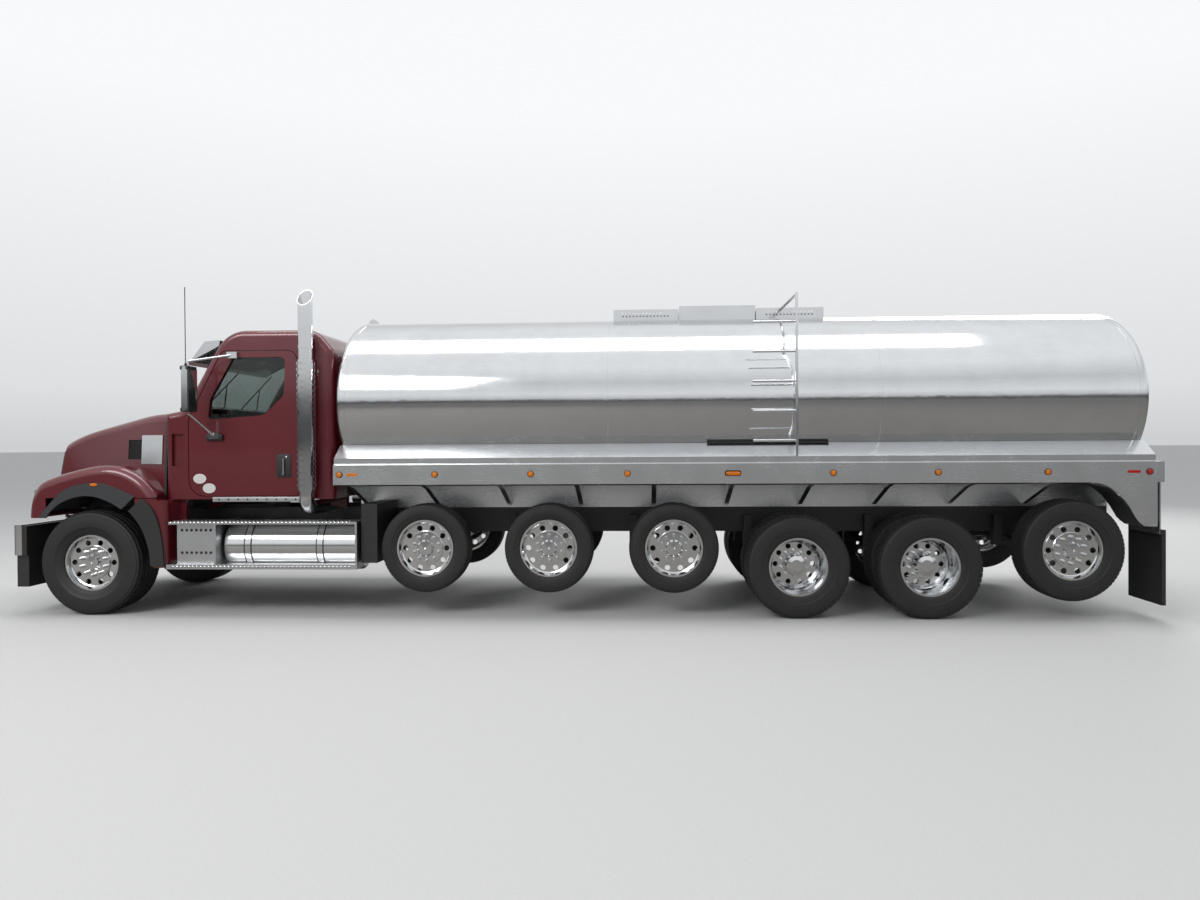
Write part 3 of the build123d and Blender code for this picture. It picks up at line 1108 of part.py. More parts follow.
# Exhaust stacks behind the cab, one on each side, with guards and elbows
with BuildPart() as exhaust_stacks:
    stack_x = along(STACK_X)
    elbow_top = ELBOW_Z + ELBOW_RADIUS
    rod((stack_x, -STACK_Y, elbow_top), (stack_x, -STACK_Y, STACK_TOP), STACK_RADIUS)
    with BuildSketch(Plane.XY.offset(elbow_top)) as elbow_face:
        with Locations((stack_x, -STACK_Y)):
            Circle(STACK_RADIUS)
    bend_axis = Axis((stack_x, -STACK_Y + ELBOW_RADIUS, elbow_top), (1, 0, 0))
    revolve(elbow_face.sketch, axis=bend_axis, revolution_arc=90)
    pipe_end = (stack_x, -RAIL_HALF_WIDTH - SEAT_CLEARANCE, ELBOW_Z)
    rod((stack_x, -STACK_Y + ELBOW_RADIUS, ELBOW_Z), pipe_end, STACK_RADIUS)
    bore = STACK_RADIUS - STACK_WALL
    rod((stack_x, -STACK_Y, STACK_TOP - 320), (stack_x, -STACK_Y, STACK_TOP + 5), bore, Mode.SUBTRACT)
    tip = [(-STACK_Y - 120, STACK_TOP - 250), (-STACK_Y + 90, STACK_TOP + 5), (-STACK_Y - 120, STACK_TOP + 5)]
    lengthwise(tip, stack_x - 100, stack_x + 100, Mode.SUBTRACT)
    guard = STACK_RADIUS + GUARD_GAP + GUARD_WALL
    for z_low, z_high, radius in (
        (GUARD_LOW, GUARD_HIGH, guard),
        (GUARD_HIGH + 120, GUARD_HIGH + 150, STACK_RADIUS + 5),
    ):
        rod((stack_x, -STACK_Y, z_low), (stack_x, -STACK_Y, z_high), radius)
    mirror(about=Plane.XZ)
exhaust_stacks.part.label = "exhaust_stacks"
export_step(exhaust_stacks.part, "parts/exhaust_stacks.step")

# Side steps: two treads on hangers from the frame, and the box beside the tank
HANGER_STATIONS = [1371.0, 2880.0]
with BuildPart() as side_steps:
    upper_z = (972.0, 1000.0)
    lower_z = (500.0, 548.0)
    slab((along(STEP_FRONT), along(STEP_REAR + 50)), (-STEP_OUTER, -985), upper_z)
    slab((along(STEP_FRONT - 28), along(STEP_REAR + 50)), (-STEP_OUTER, -1085), lower_z)
    slab((along(930), along(1350)), (-1172, -720), (lower_z[1] - 1, upper_z[0] + 1))
    seat_y = -RAIL_HALF_WIDTH - SEAT_CLEARANCE
    hanger = [(seat_y, upper_z[1]), (-STEP_OUTER, upper_z[1]), (-STEP_OUTER, lower_z[0])]
    hanger += [(-1085, lower_z[0]), (seat_y, 830)]
    for station in HANGER_STATIONS:
        lengthwise(hanger, along(station), along(station) + 20)
    mirror(about=Plane.XZ)
side_steps.part.label = "side_steps"
export_step(side_steps.part, "parts/side_steps.step")

# Fuel tanks: round, with two straps each and a bracket to the frame
with BuildPart() as fuel_tanks:
    centre_y = -FUEL_TANK_Y
    front = (along(FUEL_TANK_FRONT), centre_y, FUEL_TANK_Z)
    rear = (along(FUEL_TANK_REAR), centre_y, FUEL_TANK_Z)
    rod(front, rear, FUEL_TANK_RADIUS)
    fillet(fuel_tanks.edges().filter_by(GeomType.CIRCLE), 35)
    for station in (1650.0, 2430.0):
        strap = ((along(station), centre_y, FUEL_TANK_Z), (along(station + 60), centre_y, FUEL_TANK_Z))
        rod(strap[0], strap[1], FUEL_TANK_RADIUS + 4)
        bracket_y = (-RAIL_HALF_WIDTH - SEAT_CLEARANCE - 220, -RAIL_HALF_WIDTH - SEAT_CLEARANCE)
        slab((along(station), along(station + 60)), bracket_y, (FRAME_TOP - RAIL_DEPTH + 20, FRAME_TOP - 110))
    mirror(about=Plane.XZ)
fuel_tanks.part.label = "fuel_tanks"
export_step(fuel_tanks.part, "parts/fuel_tanks.step")

# Ladder up the left side of the tank, over to the boxes on top
with BuildPart() as ladder:
    foot_z = BODY_RAIL_HIGH + 70 + 12
    head_z = BOX_TOP - 30
    ladder_y = -(BODY_HALF_WIDTH - 30)
    for station in (LADDER_FRONT, LADDER_REAR):
        x = along(station)
        rod((x, ladder_y, foot_z), (x, ladder_y, head_z + LADDER_TUBE), LADDER_TUBE)
        rod((x, ladder_y, head_z), (x, -BOX_HALF_WIDTH - SEAT_CLEARANCE, head_z), LADDER_TUBE)
        rod((x, ladder_y, TANK_Z), (x, -TANK_HALF_WIDTH - SEAT_CLEARANCE, TANK_Z), LADDER_TUBE - 3)
    rungs = int((head_z - foot_z - 150) / RUNG_PITCH) + 1
    for index in range(rungs):
        z = foot_z + 150 + index * RUNG_PITCH
        rod((along(LADDER_FRONT), ladder_y, z), (along(LADDER_REAR), ladder_y, z), LADDER_TUBE - 3)
ladder.part.label = "ladder"
export_step(ladder.part, "parts/ladder.step")

# Top boxes astride the tank's crown, the middle one open round the manhole
# Columns: front, rear, top
BOX_FRONT = BODY_FRONT + 0.349 * (BODY_REAR - BODY_FRONT)
BOX_TABLE = [
    (BOX_FRONT, BOX_FRONT + 730.0, BOX_TOP - 20),
    (BOX_FRONT + 740.0, BOX_FRONT + 1590.0, BOX_TOP),
    (BOX_FRONT + 1600.0, BOX_FRONT + 2350.0, BOX_TOP - 20),
]
MANHOLE_RADIUS = 250.0
with BuildPart() as top_boxes:
    for index, (front, rear, top) in enumerate(BOX_TABLE):
        base = TANK_Z + tank_surface(BOX_HALF_WIDTH) - 60
        slab((along(front), along(rear)), (-BOX_HALF_WIDTH, BOX_HALF_WIDTH), (base, top))
        if index == 1:
            inner_half = BOX_HALF_WIDTH - BOX_WALL
            inner_x = (along(front) + BOX_WALL, along(rear) - BOX_WALL)
            slab(inner_x, (-inner_half, inner_half), (base - 5, top + 5), Mode.SUBTRACT)
            for seam_x in (inner_x[0], inner_x[1] - SEAT_CLEARANCE):
                seam = (seam_x, seam_x + SEAT_CLEARANCE)
                slab(seam, (-BOX_HALF_WIDTH - 1, BOX_HALF_WIDTH + 1), (base - 5, top + 5), Mode.SUBTRACT)
            centre_x = along((front + rear) / 2)
            rod((centre_x, 0, TANK_Z + TANK_HALF_HEIGHT - 5), (centre_x, 0, top - 50), MANHOLE_RADIUS)
    with BuildSketch(cross_plane(along(BOX_TABLE[0][0]) - 50)) as barrel:
        with Locations((0, TANK_Z)):
            Ellipse(TANK_HALF_WIDTH + SEAT_CLEARANCE, TANK_HALF_HEIGHT + SEAT_CLEARANCE)
    extrude(barrel.sketch, amount=2600, mode=Mode.SUBTRACT)
top_boxes.part.label = "top_boxes"
export_step(top_boxes.part, "parts/top_boxes.step")

# Lid of the middle box, hinged on the right
with BuildPart() as box_lid:
    front, rear, top = BOX_TABLE[1]
    lid_z = (top + SEAT_CLEARANCE, top + SEAT_CLEARANCE + LID_THICKNESS)
    slab((along(front), along(rear)), (-BOX_HALF_WIDTH, BOX_HALF_WIDTH), lid_z)
box_lid.part.label = "box_lid"
export_step(box_lid.part, "parts/box_lid.step")

# Rear quarter panels round the tag wheels, and the light bar across the back
PANEL_LOW = 945.0
QUARTER_EDGE = [(150.0, 1376.0), (335.0, 1335.0), (446.0, 1240.0)]
QUARTER_EDGE += [(525.0, 1135.0), (592.0, 1017.0), (670.0, 950.0)]
LIGHT_BAR_REAR = REAR_STATION - 40.0
with BuildPart() as rear_fenders:
    top = BODY_RAIL_LOW - SEAT_CLEARANCE
    with BuildSketch(side_plane(-BODY_HALF_WIDTH + SHEET)) as quarter:
        with BuildLine():
            Spline([(along(TAG_STATION + x), z) for x, z in QUARTER_EDGE])
            last_x = along(TAG_STATION + QUARTER_EDGE[-1][0])
            first_x = along(TAG_STATION + QUARTER_EDGE[0][0])
            foot = (along(BODY_REAR), PANEL_LOW)
            Polyline((last_x, QUARTER_EDGE[-1][1]), foot, (along(BODY_REAR), top), (first_x, top))
            Line((first_x, top), (first_x, QUARTER_EDGE[0][1]))
        make_face()
    extrude(quarter.sketch, amount=SHEET)
    slab((along(BODY_REAR) - SHEET, along(BODY_REAR)), (-BODY_HALF_WIDTH, -640), (PANEL_LOW, top))
    mirror(about=Plane.XZ)
    bar_x = (along(BODY_REAR) + SEAT_CLEARANCE, along(LIGHT_BAR_REAR))
    slab(bar_x, (-BODY_HALF_WIDTH + 30, BODY_HALF_WIDTH - 30), (BODY_RAIL_LOW, BODY_RAIL_HIGH))
    for side in (-1, 1):
        hanger_y = sorted((side * 660, side * 1200))
        slab((along(LIGHT_BAR_REAR) - 12, along(LIGHT_BAR_REAR)), hanger_y, (860, BODY_RAIL_LOW + 1))
rear_fenders.part.label = "rear_fenders"
export_step(rear_fenders.part, "parts/rear_fenders.step")

# Mud flaps hung behind the tag wheels
with BuildPart() as mudflaps:
    slab((along(LIGHT_BAR_REAR) + SEAT_CLEARANCE, REAR_X), (-1215, -640), (150, 905))
    mirror(about=Plane.XZ)
mudflaps.part.label = "mudflaps"
export_step(mudflaps.part, "parts/mudflaps.step")
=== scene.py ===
"""Looks of the seven axle tanker truck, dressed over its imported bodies."""

import json
import logging
import math
from dataclasses import dataclass, field
from enum import Enum
from typing import Callable, Sequence

import bmesh
import bpy
from mathutils import Matrix, Vector


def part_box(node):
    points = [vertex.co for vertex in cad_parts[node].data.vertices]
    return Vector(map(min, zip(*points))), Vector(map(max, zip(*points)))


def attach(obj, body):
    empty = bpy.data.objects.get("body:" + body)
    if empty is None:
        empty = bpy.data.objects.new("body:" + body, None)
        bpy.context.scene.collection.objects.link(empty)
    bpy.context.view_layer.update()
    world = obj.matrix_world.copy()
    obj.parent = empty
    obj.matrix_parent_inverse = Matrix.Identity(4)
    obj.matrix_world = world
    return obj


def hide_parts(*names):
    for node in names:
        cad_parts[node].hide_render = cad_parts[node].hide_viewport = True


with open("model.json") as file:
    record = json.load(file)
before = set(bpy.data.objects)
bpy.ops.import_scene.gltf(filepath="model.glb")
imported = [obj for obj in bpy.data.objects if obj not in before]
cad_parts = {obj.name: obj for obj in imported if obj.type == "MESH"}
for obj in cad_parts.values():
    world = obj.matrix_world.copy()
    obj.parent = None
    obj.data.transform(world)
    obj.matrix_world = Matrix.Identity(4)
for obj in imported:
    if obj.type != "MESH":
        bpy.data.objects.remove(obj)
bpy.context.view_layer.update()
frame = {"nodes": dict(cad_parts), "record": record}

LOG = logging.getLogger("tanker")
STEER_X = 0.865 - 11.945 / 2
RIM_FLANGE = 0.298
SMOOTH_ANGLE = math.radians(32)

Color = tuple[float, float, float]
Point = tuple[float, float, float]
Pair = tuple[float, float]
Sockets = bpy.types.bpy_prop_collection


class Grain(Enum):
    """Direction of the fine marks that rolling or brushing leaves in a metal."""

    NONE = (1.0, 1.0, 1.0)
    ALONG = (0.02, 1.0, 1.0)
    UPRIGHT = (1.0, 1.0, 0.03)


class Tread(Enum):
    """Pattern of a tyre's running surface."""

    RIBS = 72
    BLOCKS = 60


def along(station: float) -> float:
    """Place on X of a distance in metres behind the steer axle."""
    return STEER_X + station


class Desk:
    """Lays out the nodes of one material or node group."""

    def __init__(self, tree: bpy.types.NodeTree) -> None:
        """Keeps the tree that the nodes go into.

        Args:
            tree: Node tree of a material, a world or a group.
        """
        self.tree = tree

    def feed(self, target: bpy.types.NodeSocket, value: object) -> None:
        """Links another node's socket to an input, or sets the input to a value."""
        if isinstance(value, bpy.types.NodeSocket):
            self.tree.links.new(value, target)
        else:
            target.default_value = value

    def node(self, kind: str, **settings: object) -> bpy.types.Node:
        """Adds a node.

        Args:
            kind: Blender's name of the node type.
            settings: Properties of the node, and what its inputs are fed with,
                by name with spaces written as underscores.

        Returns:
            The new node.
        """
        made = self.tree.nodes.new(kind)
        for name, value in settings.items():
            socket = made.inputs.get(name.replace("_", " "))
            if socket is not None and name[0].isupper():
                self.feed(socket, value)
            else:
                setattr(made, name, value)
        return made

    def math(self, operation: str, first: object, second: object) -> bpy.types.NodeSocket:
        """Adds a math node for two sockets or numbers and gives its result."""
        made = self.node("ShaderNodeMath", operation=operation)
        self.feed(made.inputs[0], first)
        self.feed(made.inputs[1], second)
        return made.outputs[0]

    def mix(self, factor: object, first: object, second: object, blend: str = "MIX") -> bpy.types.NodeSocket:
        """Adds a node that mixes two colours.

        Args:
            factor: Share of the second colour.
            first: Colour or socket.
            second: Colour or socket.
            blend: Blender's name of the way to mix.

        Returns:
            The mixed colour's socket.
        """
        made = self.node("ShaderNodeMix", data_type="RGBA", blend_type=blend, Factor=factor)
        self.feed(made.inputs[6], first)
        self.feed(made.inputs[7], second)
        return made.outputs[2]

    def noise(self, place: object, scale: object, detail: float, roughness: float) -> bpy.types.NodeSocket:
        """Adds a noise texture.

        Args:
            place: Socket of the coordinates.
            scale: Number or socket.
            detail: Number of octaves.
            roughness: Weight of the finer octaves.

        Returns:
            The socket of its values.
        """
        settings = {"Scale": scale, "Detail": detail, "Roughness": roughness}
        return self.node("ShaderNodeTexNoise", Vector=place, **settings).outputs["Fac"]


def new_material(name: str) -> tuple[bpy.types.Material, Desk, bpy.types.Node]:
    """Starts a material and gives it with its desk and its Principled shader."""
    material = bpy.data.materials.new(name)
    material.use_nodes = True
    return material, Desk(material.node_tree), material.node_tree.nodes["Principled BSDF"]


def new_group(
    name: str, inputs: Sequence[tuple[str, str, object]], outputs: Sequence[tuple[str, str]]
) -> tuple[Desk, Sockets, Sockets]:
    """Makes a shader node group with its sockets.

    Args:
        name: Name of the group.
        inputs: Name, kind and default of each input.
        outputs: Name and kind of each output.

    Returns:
        The group's desk, the sockets that it is given and those of its result.
    """
    group = bpy.data.node_groups.new(name, "ShaderNodeTree")
    for title, kind, default in inputs:
        socket = group.interface.new_socket(name=title, in_out="INPUT", socket_type="NodeSocket" + kind)
        if default is not None:
            socket.default_value = default
    for title, kind in outputs:
        group.interface.new_socket(name=title, in_out="OUTPUT", socket_type="NodeSocket" + kind)
    desk = Desk(group)
    return desk, desk.node("NodeGroupInput").outputs, desk.node("NodeGroupOutput").inputs


def surface_marks_group() -> bpy.types.NodeTree:
    """Builds the group that gives fine grain, broad waves and uneven gloss.

    Returns:
        Group with a grain height, a wave height, a shade and a gloss output.
    """
    inputs = (
        ("Vector", "Vector", None), ("Grain Stretch", "Vector", (1.0, 1.0, 1.0)),
        ("Grain Scale", "Float", 200.0), ("Wave Scale", "Float", 1.5),
        ("Roughness", "Float", 0.3), ("Unevenness", "Float", 0.2),
    )
    outputs = (("Grain", "Float"), ("Wave", "Float"), ("Shade", "Float"), ("Roughness", "Float"))
    desk, given, result = new_group("surface marks", inputs, outputs)
    stretched = desk.node("ShaderNodeVectorMath", operation="MULTIPLY")
    desk.feed(stretched.inputs[0], given["Vector"])
    desk.feed(stretched.inputs[1], given["Grain Stretch"])
    fine = desk.noise(stretched.outputs[0], given["Grain Scale"], 3.0, 0.6)
    broad = desk.noise(given["Vector"], given["Wave Scale"], 1.0, 0.4)
    cloudy = desk.noise(given["Vector"], 3.1, 4.0, 0.6)
    swings = []
    for noise in (cloudy, fine):
        swing = desk.math("SUBTRACT", noise, 0.5)
        swings.append(desk.math("MULTIPLY", swing, given["Unevenness"]))
    shade = desk.math("ADD", desk.math("ADD", *swings), 1.0)
    desk.feed(result["Grain"], fine)
    desk.feed(result["Wave"], broad)
    desk.feed(result["Shade"], shade)
    desk.feed(result["Roughness"], desk.math("MULTIPLY", shade, given["Roughness"]))
    return desk.tree


def road_dust_group() -> bpy.types.NodeTree:
    """Builds the group that lays pale road dust on the low parts.

    Returns:
        Group with a colour output and a mask of the dusty places.
    """
    inputs = (
        ("Vector", "Vector", None), ("Color", "Color", (0.5, 0.5, 0.5, 1.0)),
        ("Dust", "Color", (0.3, 0.27, 0.23, 1.0)), ("Amount", "Float", 0.2), ("Height", "Float", 1.2),
    )
    desk, given, result = new_group("road dust", inputs, (("Color", "Color"), ("Mask", "Float")))
    place = desk.node("ShaderNodeSeparateXYZ")
    desk.feed(place.inputs[0], given["Vector"])
    ratio = desk.math("DIVIDE", place.outputs["Z"], given["Height"])
    low = desk.node("ShaderNodeMapRange", clamp=True, From_Min=1.0, From_Max=0.0, Value=ratio)
    patches = desk.noise(given["Vector"], 9.0, 5.0, 0.65)
    mask = desk.math("MULTIPLY", desk.math("MULTIPLY", low.outputs[0], patches), given["Amount"])
    desk.feed(result["Color"], desk.mix(mask, given["Color"], given["Dust"]))
    desk.feed(result["Mask"], mask)
    return desk.tree


SURFACE_MARKS = surface_marks_group()
ROAD_DUST = road_dust_group()


@dataclass(frozen=True)
class Finish:
    """An opaque finish with its grain, waves, gloss and road dust."""

    name: str
    color: Color
    roughness: float
    metallic: float = 0.0
    coat: float = 0.0
    grain: Grain = Grain.NONE
    grain_scale: float = 220.0
    grain_height: float = 0.0002
    wave_scale: float = 1.5
    wave_height: float = 0.0
    unevenness: float = 0.25
    dust: float = 0.25
    sheen: float = 0.0
    slot: str = ""

    def build(self) -> bpy.types.Material:
        """Makes the material, with one Principled shader."""
        material, desk, shader = new_material(self.name)
        shader.inputs["Metallic"].default_value = self.metallic
        shader.inputs["Coat Weight"].default_value = self.coat
        shader.inputs["Coat Roughness"].default_value = 0.03
        shader.inputs["Sheen Weight"].default_value = self.sheen
        place = desk.node("ShaderNodeTexCoord").outputs["Object"]
        marks = desk.node(
            "ShaderNodeGroup", node_tree=SURFACE_MARKS, Vector=place, Grain_Stretch=self.grain.value,
            Grain_Scale=self.grain_scale, Wave_Scale=self.wave_scale, Roughness=self.roughness,
            Unevenness=self.unevenness,
        ).outputs
        shade = desk.mix(0.5, (*self.color, 1.0), marks["Shade"], "MULTIPLY")
        dusty = desk.node("ShaderNodeGroup", node_tree=ROAD_DUST, Vector=place, Color=shade, Amount=self.dust)
        desk.feed(shader.inputs["Base Color"], dusty.outputs["Color"])
        dulled = desk.math("MULTIPLY", dusty.outputs["Mask"], 0.4)
        desk.feed(shader.inputs["Roughness"], desk.math("ADD", marks["Roughness"], dulled))
        fine = desk.node("ShaderNodeBump", Distance=self.grain_height, Strength=0.35, Height=marks["Grain"])
        if self.wave_height > 0:
            wave = desk.node("ShaderNodeBump", Distance=self.wave_height, Strength=1.0, Height=marks["Wave"])
            desk.feed(fine.inputs["Normal"], wave.outputs["Normal"])
        desk.feed(shader.inputs["Normal"], fine.outputs["Normal"])
        return material


@dataclass(frozen=True)
class Glass:
    """A clear or tinted glass, or the lens of a lamp."""

    name: str
    color: Color
    roughness: float = 0.02
    transmission: float = 1.0
    flute_scale: float = 0.0
    flute_height: float = 0.0
    # Strength of the lens's own glow. The reflectors share these lens materials, so on them the glow is
    # painted light.
    glow: float = 0.0
    slot: str = ""

    def build(self) -> bpy.types.Material:
        """Makes the material, with one Principled shader."""
        material, desk, shader = new_material(self.name)
        shader.inputs["Transmission Weight"].default_value = self.transmission
        shader.inputs["IOR"].default_value = 1.46
        shader.inputs["Emission Color"].default_value = (*self.color, 1.0)
        shader.inputs["Emission Strength"].default_value = self.glow
        place = desk.node("ShaderNodeTexCoord").outputs["Object"]
        smear = desk.noise(place, 4.0, 4.0, 0.6)
        darker = (*[value * 0.8 for value in self.color], 1.0)
        tint = desk.mix(desk.math("MULTIPLY", smear, 0.3), (*self.color, 1.0), darker)
        desk.feed(shader.inputs["Base Color"], tint)
        desk.feed(shader.inputs["Roughness"], desk.math("MULTIPLY", smear, self.roughness * 2))
        if self.flute_height > 0:
            flutes = desk.node("ShaderNodeTexWave", Scale=self.flute_scale, bands_direction="X", Vector=place)
            bump = desk.node("ShaderNodeBump", Distance=self.flute_height, Strength=0.6)
            desk.feed(bump.inputs["Height"], flutes.outputs["Fac"])
            desk.feed(shader.inputs["Normal"], bump.outputs["Normal"])
        return material


POLISHED: Color = (0.74, 0.75, 0.76)
FINISHES: dict[str, Finish | Glass] = {
    finish.name: finish
    for finish in (
        Finish("frame_black", (0.018, 0.018, 0.019), 0.45, grain_scale=90, unevenness=0.4, dust=0.05),
        Finish("axle_black", (0.02, 0.02, 0.021), 0.55, grain_scale=60, grain_height=0.001, dust=0.08),
        Finish("bright_chrome", POLISHED, 0.06, 1.0, wave_scale=3, wave_height=0.0008, dust=0.08),
        Finish("black_plastic", (0.016, 0.016, 0.017), 0.5, grain_scale=500, grain_height=0.0006, dust=0.05),
        Finish("grey_plastic", (0.032, 0.033, 0.036), 0.48, grain_scale=500, grain_height=0.0006, dust=0.04),
        Finish("engine_grey", (0.10, 0.10, 0.10), 0.6, grain_scale=60, grain_height=0.001),
        Finish(
            "polished_jacket", (0.72, 0.73, 0.745), 0.10, 1.0, grain=Grain.ALONG, grain_scale=260,
            grain_height=0.0003, wave_scale=0.7, wave_height=0.006, unevenness=0.35, dust=0.0,
        ),
        Finish(
            "rail_aluminium", (0.70, 0.71, 0.72), 0.26, 1.0, grain=Grain.ALONG, grain_scale=420,
            wave_height=0.001, dust=0.1,
        ),
        Finish("step_aluminium", (0.60, 0.61, 0.62), 0.34, 1.0, grain=Grain.ALONG, grain_scale=300, dust=0.2),
        Finish(
            "polished_aluminium", POLISHED, 0.14, 1.0, grain_scale=200, wave_scale=2.5,
            wave_height=0.002, dust=0.05,
        ),
        Finish(
            "wheel_aluminium", POLISHED, 0.13, 1.0, grain_scale=160, wave_scale=6,
            wave_height=0.0006, dust=0.12,
        ),
        Finish(
            "bright_steel", (0.72, 0.73, 0.74), 0.10, 1.0, grain=Grain.UPRIGHT, wave_scale=1.5,
            wave_height=0.002, dust=0.0,
        ),
        Glass("lamp_lens", (0.85, 0.24, 0.01), 0.05, 0.35, 90.0, 0.002, 0.06),
        Glass("headlamp_glass", (0.86, 0.88, 0.90), 0.02, 0.9),
        Glass("tinted_glass", (0.42, 0.48, 0.46), 0.01, 1.0),
        Finish(
            "red_paint", (0.105, 0.0022, 0.0075), 0.38, 0.15, coat=0.8, grain_scale=900,
            grain_height=0.00005, wave_scale=2.5, wave_height=0.0012, unevenness=0.3, dust=0.0,
        ),
        Finish(
            "cabin_trim", (0.05, 0.05, 0.053), 0.7, grain_scale=400, grain_height=0.0006, dust=0.0, sheen=0.2
        ),
        Finish("flap_rubber", (0.012, 0.012, 0.012), 0.6, grain_scale=140, grain_height=0.0008, dust=0.05),
        Finish(
            "tyre_rubber", (0.010, 0.010, 0.0105), 0.58, grain_scale=300, grain_height=0.0007,
            unevenness=0.35, dust=0.05,
        ),
        Glass("red_lens", (0.62, 0.015, 0.01), 0.05, 0.35, 90.0, 0.002, 0.04, slot="lamp_lens"),
        Finish("pale_film", (0.60, 0.58, 0.56), 0.35, grain_scale=60, dust=0.0, slot="cabin_trim"),
        Finish(
            "lamp_rubber", (0.013, 0.013, 0.013), 0.6, grain_scale=300, grain_height=0.0005,
            slot="flap_rubber",
        ),
    )
}


class Bench:
    """Hand tools for modelling: each starts from a clean selection."""

    @staticmethod
    def clear() -> None:
        """Deselects every object and leaves edit mode."""
        if bpy.context.mode != "OBJECT":
            bpy.ops.object.mode_set(mode="OBJECT")
        bpy.ops.object.select_all(action="DESELECT")

    @staticmethod
    def take(piece: bpy.types.Object) -> None:
        """Selects one object and makes it active."""
        Bench.clear()
        piece.select_set(True)
        bpy.context.view_layer.objects.active = piece

    @staticmethod
    def edit(piece: bpy.types.Object) -> bmesh.types.BMesh:
        """Opens a piece in edit mode.

        Args:
            piece: Mesh object.

        Returns:
            Its edit mesh.
        """
        Bench.take(piece)
        bpy.ops.object.mode_set(mode="EDIT")
        return bmesh.from_edit_mesh(piece.data)

    @staticmethod
    def pick_faces(piece: bpy.types.Object, wanted: Callable[[bmesh.types.BMFace], bool]) -> int:
        """Selects faces by a test on their place or normal.

        Args:
            piece: Mesh object in edit mode.
            wanted: Test that says which faces to take.

        Returns:
            Number of faces taken.
        """
        bpy.ops.mesh.select_mode(type="FACE")
        bpy.ops.mesh.select_all(action="DESELECT")
        shape = bmesh.from_edit_mesh(piece.data)
        count = 0
        for face in shape.faces:
            if wanted(face):
                face.select_set(True)
                count += 1
        shape.select_flush_mode()
        bmesh.update_edit_mesh(piece.data)
        return count

    @staticmethod
    def raise_faces(height: float) -> None:
        """Extrudes the selected faces along their normals."""
        bpy.ops.mesh.extrude_region_shrink_fatten(TRANSFORM_OT_shrink_fatten={"value": height})

    @staticmethod
    def close() -> None:
        """Merges doubles, points the faces outwards, leaves edit mode and smooths the piece."""
        bpy.ops.mesh.select_mode(type="VERT")
        bpy.ops.mesh.select_all(action="SELECT")
        bpy.ops.mesh.remove_doubles(threshold=0.00005)
        bpy.ops.mesh.normals_make_consistent(inside=False)
        bpy.ops.object.mode_set(mode="OBJECT")
        bpy.ops.object.shade_smooth_by_angle(angle=SMOOTH_ANGLE)

    @staticmethod
    def settle(piece: bpy.types.Object) -> None:
        """Moves a piece's place, turn and scale into its mesh."""
        Bench.take(piece)
        bpy.ops.object.transform_apply(location=True, rotation=True, scale=True)

    @staticmethod
    def named(name: str) -> bpy.types.Object:
        """Names the piece that was just made and its mesh, and gives it."""
        piece = bpy.context.object
        piece.name = piece.data.name = name
        return piece

    @staticmethod
    def traced(name: str, places: Sequence[Vector]) -> bpy.types.Object:
        """Models a chain of edges, from a single point that is extruded step by step.

        Args:
            name: Name of the piece.
            places: Corners of the chain.

        Returns:
            The new piece, in edit mode with all of it selected.
        """
        Bench.clear()
        bpy.ops.mesh.primitive_plane_add(size=0.001, location=(0, 0, 0))
        piece = Bench.named(name)
        bpy.ops.object.mode_set(mode="EDIT")
        bpy.ops.mesh.merge(type="CENTER")
        bpy.ops.transform.translate(value=places[0])
        for start, end in zip(places, places[1:]):
            bpy.ops.mesh.extrude_vertices_move(TRANSFORM_OT_translate={"value": end - start})
        bpy.ops.mesh.select_all(action="SELECT")
        return piece

    @staticmethod
    def turned(
        name: str, centre: Point, axis: Point, outward: Point, profile: Sequence[Pair], steps: int
    ) -> bpy.types.Object:
        """Turns a profile about an axis.

        Args:
            name: Name of the piece.
            centre: Point on the axis.
            axis: Direction of the axis.
            outward: Direction across the axis in which radii are drawn.
            profile: Distance along the axis and radius of each corner.
            steps: Number of steps in the full turn.

        Returns:
            The new piece, with its edit mode closed.
        """
        middle, ahead, aside = Vector(centre), Vector(axis), Vector(outward)
        piece = Bench.traced(name, [middle + ahead * length + aside * radius for length, radius in profile])
        bpy.ops.mesh.spin(steps=steps, angle=math.tau, center=centre, axis=axis)
        Bench.close()
        return piece

    @staticmethod
    def copy(piece: bpy.types.Object, name: str, shift: Point) -> bpy.types.Object:
        """Copies a piece with its own mesh and moves the copy.

        Args:
            piece: Piece to copy.
            name: Name of the copy.
            shift: How far the copy moves.

        Returns:
            The copy.
        """
        Bench.take(piece)
        bpy.ops.object.duplicate(linked=False)
        made = Bench.named(name)
        bpy.ops.transform.translate(value=shift)
        Bench.settle(made)
        return made

    @staticmethod
    def box(name: str, stations: Pair, across: Pair, heights: Pair, bevel: float = 0.003) -> bpy.types.Object:
        """Models a box with bevelled edges.

        Args:
            name: Name of the piece.
            stations: Front and rear, in metres behind the steer axle.
            across: Low and high end on Y.
            heights: Low and high end on Z.
            bevel: Width of the bevel.

        Returns:
            The box.
        """
        Bench.clear()
        ends = zip(stations, across, heights)
        start, end = (Vector((along(station), y, z)) for station, y, z in ends)
        bpy.ops.mesh.primitive_cube_add(size=1, location=(start + end) / 2)
        piece = Bench.named(name)
        piece.scale = end - start
        Bench.settle(piece)
        Bench.edit(piece)
        bpy.ops.mesh.select_all(action="SELECT")
        bpy.ops.mesh.bevel(offset=bevel, segments=3, affect="EDGES")
        Bench.close()
        return piece

